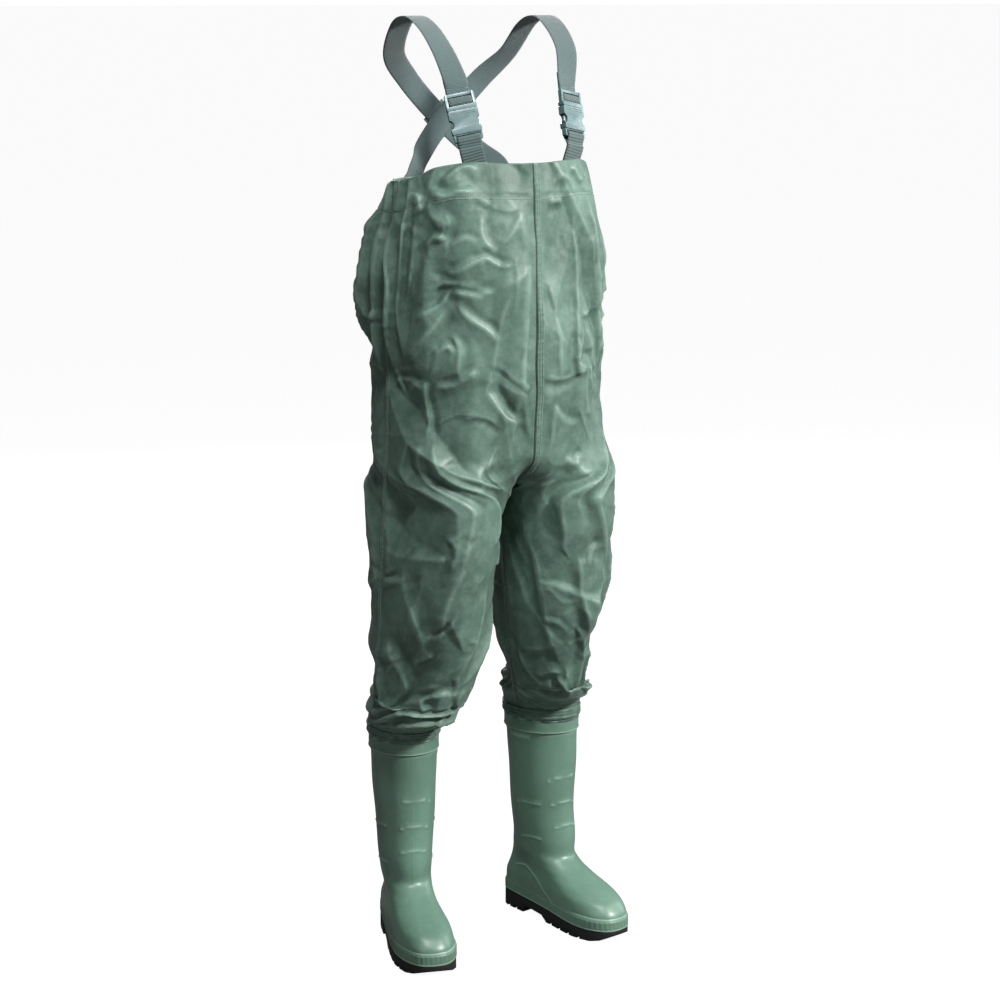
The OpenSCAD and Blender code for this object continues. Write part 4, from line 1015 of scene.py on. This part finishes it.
thread = [(5.95, 57.8), (5.95, 35.8), (5.95, 21.4), (3.2, 13.4), (1.6, 9.8), (-1.6, 9.8), (-3.2, 12.0),
          (-3.2, 17.8),
          (-1.6, 20.1), (1.6, 20.1), (3.2, 22.4), (3.2, 35.8)]
overPath = {"z": 1559, "half": 118, "y": 52, "back": 174, "cross": 1391}


def outward(p):
    p = p * 1000
    p[1] -= garmentCut["shiftY"]
    up = 1 if p[1] < 0 else smooth((p[2] - overPath["cross"] - 30) / 80)
    low = smooth((overPath["cross"] - 44 - p[2]) / 40)
    arch = unit(np.array([0, p[1] - 30, p[2] - 1409.0]))
    drop = np.array([0, 0, 0.28 * smooth((1307 - p[2]) / 12)])
    lean = unit(np.array([p[0] / 165 ** 2, p[1] / 140 ** 2, 0])) + drop
    return unit(up * arch + (1 - up) * (1 - low) * np.array([0, 1, 0]) + (1 - up) * low * lean)


def bracePath(over):
    o = overPath
    threaded = [fromBuckle(0, y, z) for y, z in thread]
    local = [(o["half"] - 6, o["y"] - 92, o["z"] - 52), (o["half"] - 2, o["y"] - 48, o["z"] - 16),
             (o["half"], o["y"], o["z"]), (o["half"] - 2, o["y"] + 48, o["z"] - 14),
             (o["half"] - 12, o["back"] - 26, o["z"] - 62), (o["half"] * 0.6, o["back"] - 2, o["cross"] + 66),
             (o["half"] * 0.27, o["back"] + 5 + over, o["cross"] + 26),
             (0, o["back"] + 5 + over, o["cross"] - 4),
             (-o["half"] * 0.25, o["back"] - 4 + over, o["cross"] - 34),
             (-o["half"] * 0.47, o["back"] - 23, o["cross"] - 60)]
    free = [threaded[-1], fromBuckle(0, 2.2, 51.8)]
    free += [np.array([x, y + garmentCut["shiftY"], z]) / 1000 for x, y, z in local]
    return threaded, free


def hemOutside(a, deep, off):  # a point over the back panel, on the wearer's right
    v = deep / 499
    grid = clothSample(0, np.array([a]), np.array([max(v, 0)]), np.array([off / 1000]))[0]
    return grid + np.array([0, 0, -min(v, 0) * 0.499])


braceLengths = {}
for side, over in (("left", -1.7), ("right", 1.7)):
    threaded, free = bracePath(over)
    ends = [hemOutside(*spot) for spot in ((155, -12, 6.5), (151, 6, 6.2), (145, 26, 6.0), (143, 34, 5.6))]
    path = splined(free + ends, 14)
    count = len(path)
    last = path[1:] - path[:-1]
    last = unit(np.concatenate([last, last[-1:]]))
    mix = smooth(np.arange(count) / 40)[:, None]
    turned = np.array([unit(np.cross(last[i], outward(path[i].copy()))) for i in range(count)])
    across = unit(acrossDir * (1 - mix) + turned * mix)
    lead = splined(threaded, 5)
    points = np.concatenate([lead, path[1:]])
    across = np.concatenate([np.tile(acrossDir, (len(lead), 1)), across[1:]])
    if side == "right":
        points, across = points * flip, across * flip
    strap, braceLengths[side] = strapPiece(f"{side}ShoulderStrap", points, across, "web")
    if side == "right":
        strap.data.flip_normals()
    keep(strap, [f"{side}_shoulder_strap"], None)
    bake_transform(strap)

    tail = np.array([40, 27, 14, 4]) / 543
    inside = list(clothSample(1, np.full(4, 33.0), tail, np.full(4, -0.0096)))
    rise = [fromBuckle(0, 0, z) for z in (-66.9, -59.9)]
    spine = np.array(inside + rise)
    lapOut = 1.2 * inDir / 1000
    ty, tz = 4 + 1.4, 2.5 + 1.4
    corners = ((-ty, -2.5), (-ty, 2), (1.6 - ty, tz + 1.2), (ty - 1.6, tz + 1.2), (ty, 2), (ty, -2.5))
    loop = [fromBuckle(0, y, -47.9 + z) for y, z in corners]
    tabPoints = splined(list(spine - lapOut) + loop + list((spine + lapOut)[::-1]), 6)
    tabAcross = np.tile(acrossDir, (len(tabPoints), 1))
    if side == "right":
        tabPoints, tabAcross = tabPoints * flip, tabAcross * flip
    tab, _ = strapPiece(f"{side}StrapTab", tabPoints, tabAcross, "tab")
    if side == "right":
        tab.data.flip_normals()
    keep(tab, [f"{side}_strap_tab"])
print("braces threaded: %.2f m each" % braceLengths["left"])

# moulded pieces from the frame's own shapes


def copyNode(node, name, finish):
    deselectAll()
    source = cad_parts[node]
    piece = bpy.data.objects.new(name, source.data.copy())
    bpy.context.scene.collection.objects.link(piece)
    piece.data.materials.clear()
    piece.data.materials.append(finishes[finish])
    makeActive(piece)
    bpy.ops.object.mode_set(mode="EDIT")
    bpy.ops.mesh.select_all(action="SELECT")
    bpy.ops.mesh.remove_doubles(threshold=0.00002)
    if piece.data.has_custom_normals:
        bpy.ops.mesh.customdata_custom_splitnormals_clear()
    bpy.ops.object.mode_set(mode="OBJECT")
    return piece


def smoothByAngle(piece, angle):
    makeActive(piece)
    bpy.ops.object.shade_smooth_by_angle(angle=math.radians(angle))


def bevelled(node, name, finish, width, segments=2, angle=28):
    piece = copyNode(node, name, finish)
    bpy.ops.object.mode_set(mode="EDIT")
    bpy.ops.mesh.select_all(action="SELECT")
    bpy.ops.mesh.dissolve_limited(angle_limit=math.radians(1.5))
    bpy.ops.object.mode_set(mode="OBJECT")
    useModifier(piece, "BEVEL", width=width, segments=segments, limit_method="ANGLE",
                angle_limit=math.radians(angle), use_clamp_overlap=True, harden_normals=False)
    return piece


buckleCut = {"edge": 0.0007, "grooveHalf": 0.0185, "grooveWide": 0.0011, "grooveDeep": 0.0006,
             "grooveZ": (-4.2, -7.4)}


def grooveCutter(side, z):
    deselectAll()
    m = flip if side == "right" else np.ones(3)
    centre = fromBuckle(0, -6.0, z) * m
    axes = [acrossDir * m, inDir * m, upDir * m]
    bpy.ops.mesh.primitive_cube_add(size=1, location=(0, 0, 0))
    cutter = bpy.context.active_object
    sizes = (2 * buckleCut["grooveHalf"], 2 * buckleCut["grooveDeep"], buckleCut["grooveWide"])
    turn = Matrix([[axes[c][r] * sizes[c] for c in range(3)] + [centre[r]] for r in range(3)] + [[0, 0, 0, 1]])
    cutter.data.transform(turn)
    if turn.to_3x3().determinant() < 0:
        cutter.data.flip_normals()
    return cutter


for side in sideNames:
    socket = bevelled(f"{side}_buckle_socket", f"{side}BuckleSocket", "buckle", buckleCut["edge"], 3)
    for z in buckleCut["grooveZ"]:
        cutter = grooveCutter(side, z)
        useModifier(socket, "BOOLEAN", operation="DIFFERENCE", object=cutter, solver="EXACT")
        bpy.data.objects.remove(cutter)
    smoothByAngle(socket, 32)
    keep(socket, [f"{side}_buckle_socket"])
    plug = bevelled(f"{side}_buckle_plug", f"{side}BucklePlug", "buckle", buckleCut["edge"], 3)
    smoothByAngle(plug, 32)
    keep(plug, [f"{side}_buckle_plug"], f"{side}_plug")
    for which in ("outer", "inner"):
        prong = bevelled(f"{side}_{which}_prong", f"{side}{which.title()}Prong", "buckle", 0.0004, 2)
        smoothByAngle(prong, 32)
        keep(prong, [f"{side}_{which}_prong"], f"{side}_{which}_prong_arm")
patch = bevelled("back_strap_patch", "backStrapPatch", "band", 0.0006, 3)
smoothByAngle(patch, 32)
keep(patch, ["back_strap_patch"])
print("buckles finished")

# boots
bootLook = {"wall": 0.0026, "rib": 0.0013, "ribWide": 1.9}
# raised lines: (angle from, to, height from, to, droop), degrees and mm, in the boot's own frame
bootRibs = [
    (-34, 22, 260, 262, 7), (-30, 20, 214, 215, 6), (42, 104, 214, 210, 4), (42, 96, 150, 146, 4),
    (-24, 20, 172, 172, 5),
]
sideRibs = [(-112, -62, 331, 330, 0), (-108, -64, 322, 321, 0)]


def bootFrame(side, points):
    # World points to the boot's own millimetres: toe to -Y, outer side to +X.
    p = points * 1000
    p = p * (flip if side == "right" else 1)
    p = p - np.array([garmentCut["stance"], garmentCut["shaftY"] + garmentCut["shiftY"], 0])
    t = math.radians(-garmentCut["toeOut"])
    return np.stack([p[:, 0] * math.cos(t) - p[:, 1] * math.sin(t),
                     p[:, 0] * math.sin(t) + p[:, 1] * math.cos(t), p[:, 2]], -1)


# the rib mark raises the boot's lines and also carries the painted highlight on them
def ribMark(local):
    angle = np.degrees(np.arctan2(local[:, 0], -local[:, 1]))
    z = local[:, 2]
    mark = np.zeros(len(local))

    def addRib(a0, a1, z0, z1, droop, angles):
        nonlocal mark
        t = (angles - a0) / (a1 - a0)
        line = z0 + (z1 - z0) * t - droop * (2 * t - 1) ** 2
        inside = smooth((t + 0.05) / 0.12) * smooth((1.05 - t) / 0.12)
        mark = np.maximum(mark, inside * np.exp(-((z - line) / bootLook["ribWide"]) ** 2))
    shaft = z > 130
    for a0, a1, z0, z1, droop in bootRibs:
        before = mark.copy()
        addRib(a0, a1, z0, z1, droop, angle)
        if a0 > 0:
            addRib(a0, a1, z0, z1, droop, -angle)
        mark = np.where(shaft, mark, before)
    for a0, a1, z0, z1, droop in sideRibs:
        addRib(a0, a1, z0, z1, droop, angle)
    # heel line and the line over the arch on both sides of the foot
    y = local[:, 1]
    low = z < 140
    heel = np.abs((z - 132) * 0.42 + (y - 52) * 0.9)
    heelOn = smooth((z - 66) / 8) * smooth((138 - z) / 8) * (y > 8)
    mark = np.maximum(mark, low * heelOn * np.exp(-(heel / 2.0) ** 2))
    arch = np.interp(y, [-150, -110, -86, -60, -30, 0, 18, 40], [22, 24, 30, 46, 66, 78, 74, 66])
    arch = arch + 14 * (y + 207) / 276
    archOn = smooth((y + 140) / 14) * smooth((36 - y) / 10) * smooth((np.abs(local[:, 0]) - 24) / 8)
    mark = np.maximum(mark, low * archOn * np.exp(-((z - arch) / 1.9) ** 2))
    rim = np.maximum(np.exp(-((z - 337.5) / 1.6) ** 2), 0)
    mark = np.maximum(mark, rim)
    seam = 0.16 * np.exp(-(local[:, 0] / 1.1) ** 2) * (z > 100) * (y < 0)
    return np.maximum(mark, seam)


def makeUpper(side):
    piece = copyNode(f"{side}_boot_upper", f"{side}BootUpper", "boot")
    makeActive(piece)
    mesh = piece.data
    seed = max(mesh.polygons, key=lambda f: abs(f.center.x) + (0.2 if 0.2 < f.center.z < 0.3 else 0)).index
    bpy.ops.object.mode_set(mode="EDIT")
    bpy.ops.mesh.select_mode(type="FACE")
    bpy.ops.mesh.select_all(action="DESELECT")
    bpy.ops.object.mode_set(mode="OBJECT")
    piece.data.polygons[seed].select = True
    bpy.ops.object.mode_set(mode="EDIT")
    bpy.ops.mesh.faces_select_linked_flat(sharpness=math.radians(58))
    bpy.ops.mesh.select_all(action="INVERT")
    bpy.ops.mesh.delete(type="FACE")
    bpy.ops.mesh.select_all(action="SELECT")
    bpy.ops.mesh.tris_convert_to_quads(face_threshold=math.radians(70), shape_threshold=math.radians(100))
    bpy.ops.object.mode_set(mode="OBJECT")
    print(piece.name, "outer skin", len(mesh.polygons), "faces")
    useModifier(piece, "SUBSURF", levels=3, render_levels=3, boundary_smooth="ALL")
    mesh = piece.data
    points = np.zeros(len(mesh.vertices) * 3)
    mesh.vertices.foreach_get("co", points)
    normals = np.zeros(len(points))
    mesh.vertices.foreach_get("normal", normals)
    points, normals = points.reshape(-1, 3), normals.reshape(-1, 3)
    mark = ribMark(bootFrame(side, points))
    local = bootFrame(side, points)
    dents = 0.0007 * np.sin(local[:, 2] / 23 + 1.2 * np.sin(local[:, 0] / 30))
    dents *= smooth((local[:, 2] - 110) / 60) * smooth((330 - local[:, 2]) / 60)
    up = local[:, 2] - 18 - 14 * (local[:, 1] + 207) / 276
    fuller = 0.0042 * smooth((up - 6) / 10) * smooth((66 - up) / 46)
    moved = points + normals * (mark * bootLook["rib"] + dents + fuller)[:, None]
    mesh.vertices.foreach_set("co", moved.ravel())
    # the mark is kept for the painted highlight on the raised lines
    mesh.attributes.new("rib", "FLOAT", "POINT").data.foreach_set("value", mark.astype(np.float32))
    mesh.update()
    useModifier(piece, "SOLIDIFY", thickness=bootLook["wall"], offset=-1)
    smoothByAngle(piece, 60)
    return keep(piece, [f"{side}_boot_upper"])


def softened(side, node, name, finish, levels=2, angle=60, shape=None):
    piece = copyNode(f"{side}_{node}", f"{side}{name}", finish)
    bpy.ops.object.mode_set(mode="EDIT")
    bpy.ops.mesh.select_all(action="SELECT")
    bpy.ops.mesh.tris_convert_to_quads(face_threshold=math.radians(70), shape_threshold=math.radians(100))
    bpy.ops.object.mode_set(mode="OBJECT")
    useModifier(piece, "BEVEL", width=0.0005, segments=2, limit_method="ANGLE", angle_limit=math.radians(50))
    useModifier(piece, "SUBSURF", levels=levels, render_levels=levels)
    mesh = piece.data
    points, normals = np.zeros(len(mesh.vertices) * 3), np.zeros(len(mesh.vertices) * 3)
    mesh.vertices.foreach_get("co", points)
    mesh.vertices.foreach_get("normal", normals)
    points, normals = points.reshape(-1, 3), normals.reshape(-1, 3)
    local = bootFrame(side, points)
    lift, mark = shape(local)
    spine = np.stack([0 * local[:, 0], np.clip(local[:, 1], -150, 10), local[:, 2]], -1)
    turnBack = math.radians(garmentCut["toeOut"])
    away = unit((local - spine) * np.array([1, 1, 0]))
    away = np.stack([away[:, 0] * math.cos(turnBack) - away[:, 1] * math.sin(turnBack),
                     away[:, 0] * math.sin(turnBack) + away[:, 1] * math.cos(turnBack), 0 * away[:, 0]], -1)
    away = away * (flip if side == "right" else 1)
    outside = (normals * away).sum(1) > -0.2
    up = local[:, 2] - 18 - 14 * (local[:, 1] + 207) / 276
    tuck = 0.0030 * smooth((up - 15.5) / 6.5) * outside * (name == "BootRand")
    mesh.vertices.foreach_set("co", (points + normals * lift[:, None] - away * tuck[:, None]).ravel())
    # the mark is kept for the painted highlight on the raised lines
    mesh.attributes.new("rib", "FLOAT", "POINT").data.foreach_set("value", mark.astype(np.float32))
    mesh.update()
    smoothByAngle(piece, angle)
    return keep(piece, [f"{side}_{node}"])


def collarShape(local):
    z = local[:, 2]
    line = np.exp(-((z - 341.5) / 1.2) ** 2) + np.exp(-((z - 362.0) / 1.4) ** 2)
    ragged = 0.0004 * np.sin(np.degrees(np.arctan2(local[:, 0], local[:, 1])) * 0.23) * (z > 355)
    return 0.0008 * line + ragged, np.clip(line, 0, 1)


def randShape(local):
    sole = 18 + 14 * (local[:, 1] + 207) / 276
    up = local[:, 2] - sole
    edge = np.exp(-((up - 20.5) / 1.5) ** 2) + np.exp(-((up - 1.6) / 1.3) ** 2)
    around = np.degrees(np.arctan2(local[:, 0], local[:, 1] + 69))
    teeth = np.where(np.sin(np.radians(around) * 110) > 0, 1, 0)
    teeth = teeth * smooth((up - 3.5) / 1) * smooth((17.5 - up) / 1)
    return 0.0007 * edge + 0.0005 * teeth, np.clip(edge, 0, 1) * 0.9


for side in sideNames:
    makeUpper(side)
    softened(side, "boot_collar", "BootCollar", "boot", 2, 60, collarShape)
    softened(side, "boot_rand", "BootRand", "rand", 3, 40, randShape)
    sole = bevelled(f"{side}_outsole", f"{side}Outsole", "sole", 0.0011, 3, 24)
    smoothByAngle(sole, 32)
    keep(sole, [f"{side}_outsole"])
    for node, finish in (("boot_lining", "lining"), ("footbed", "foam")):
        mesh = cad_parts[f"{side}_{node}"].data
        for place in range(len(mesh.materials)):
            mesh.materials[place] = finishes[finish]
print("boots finished")
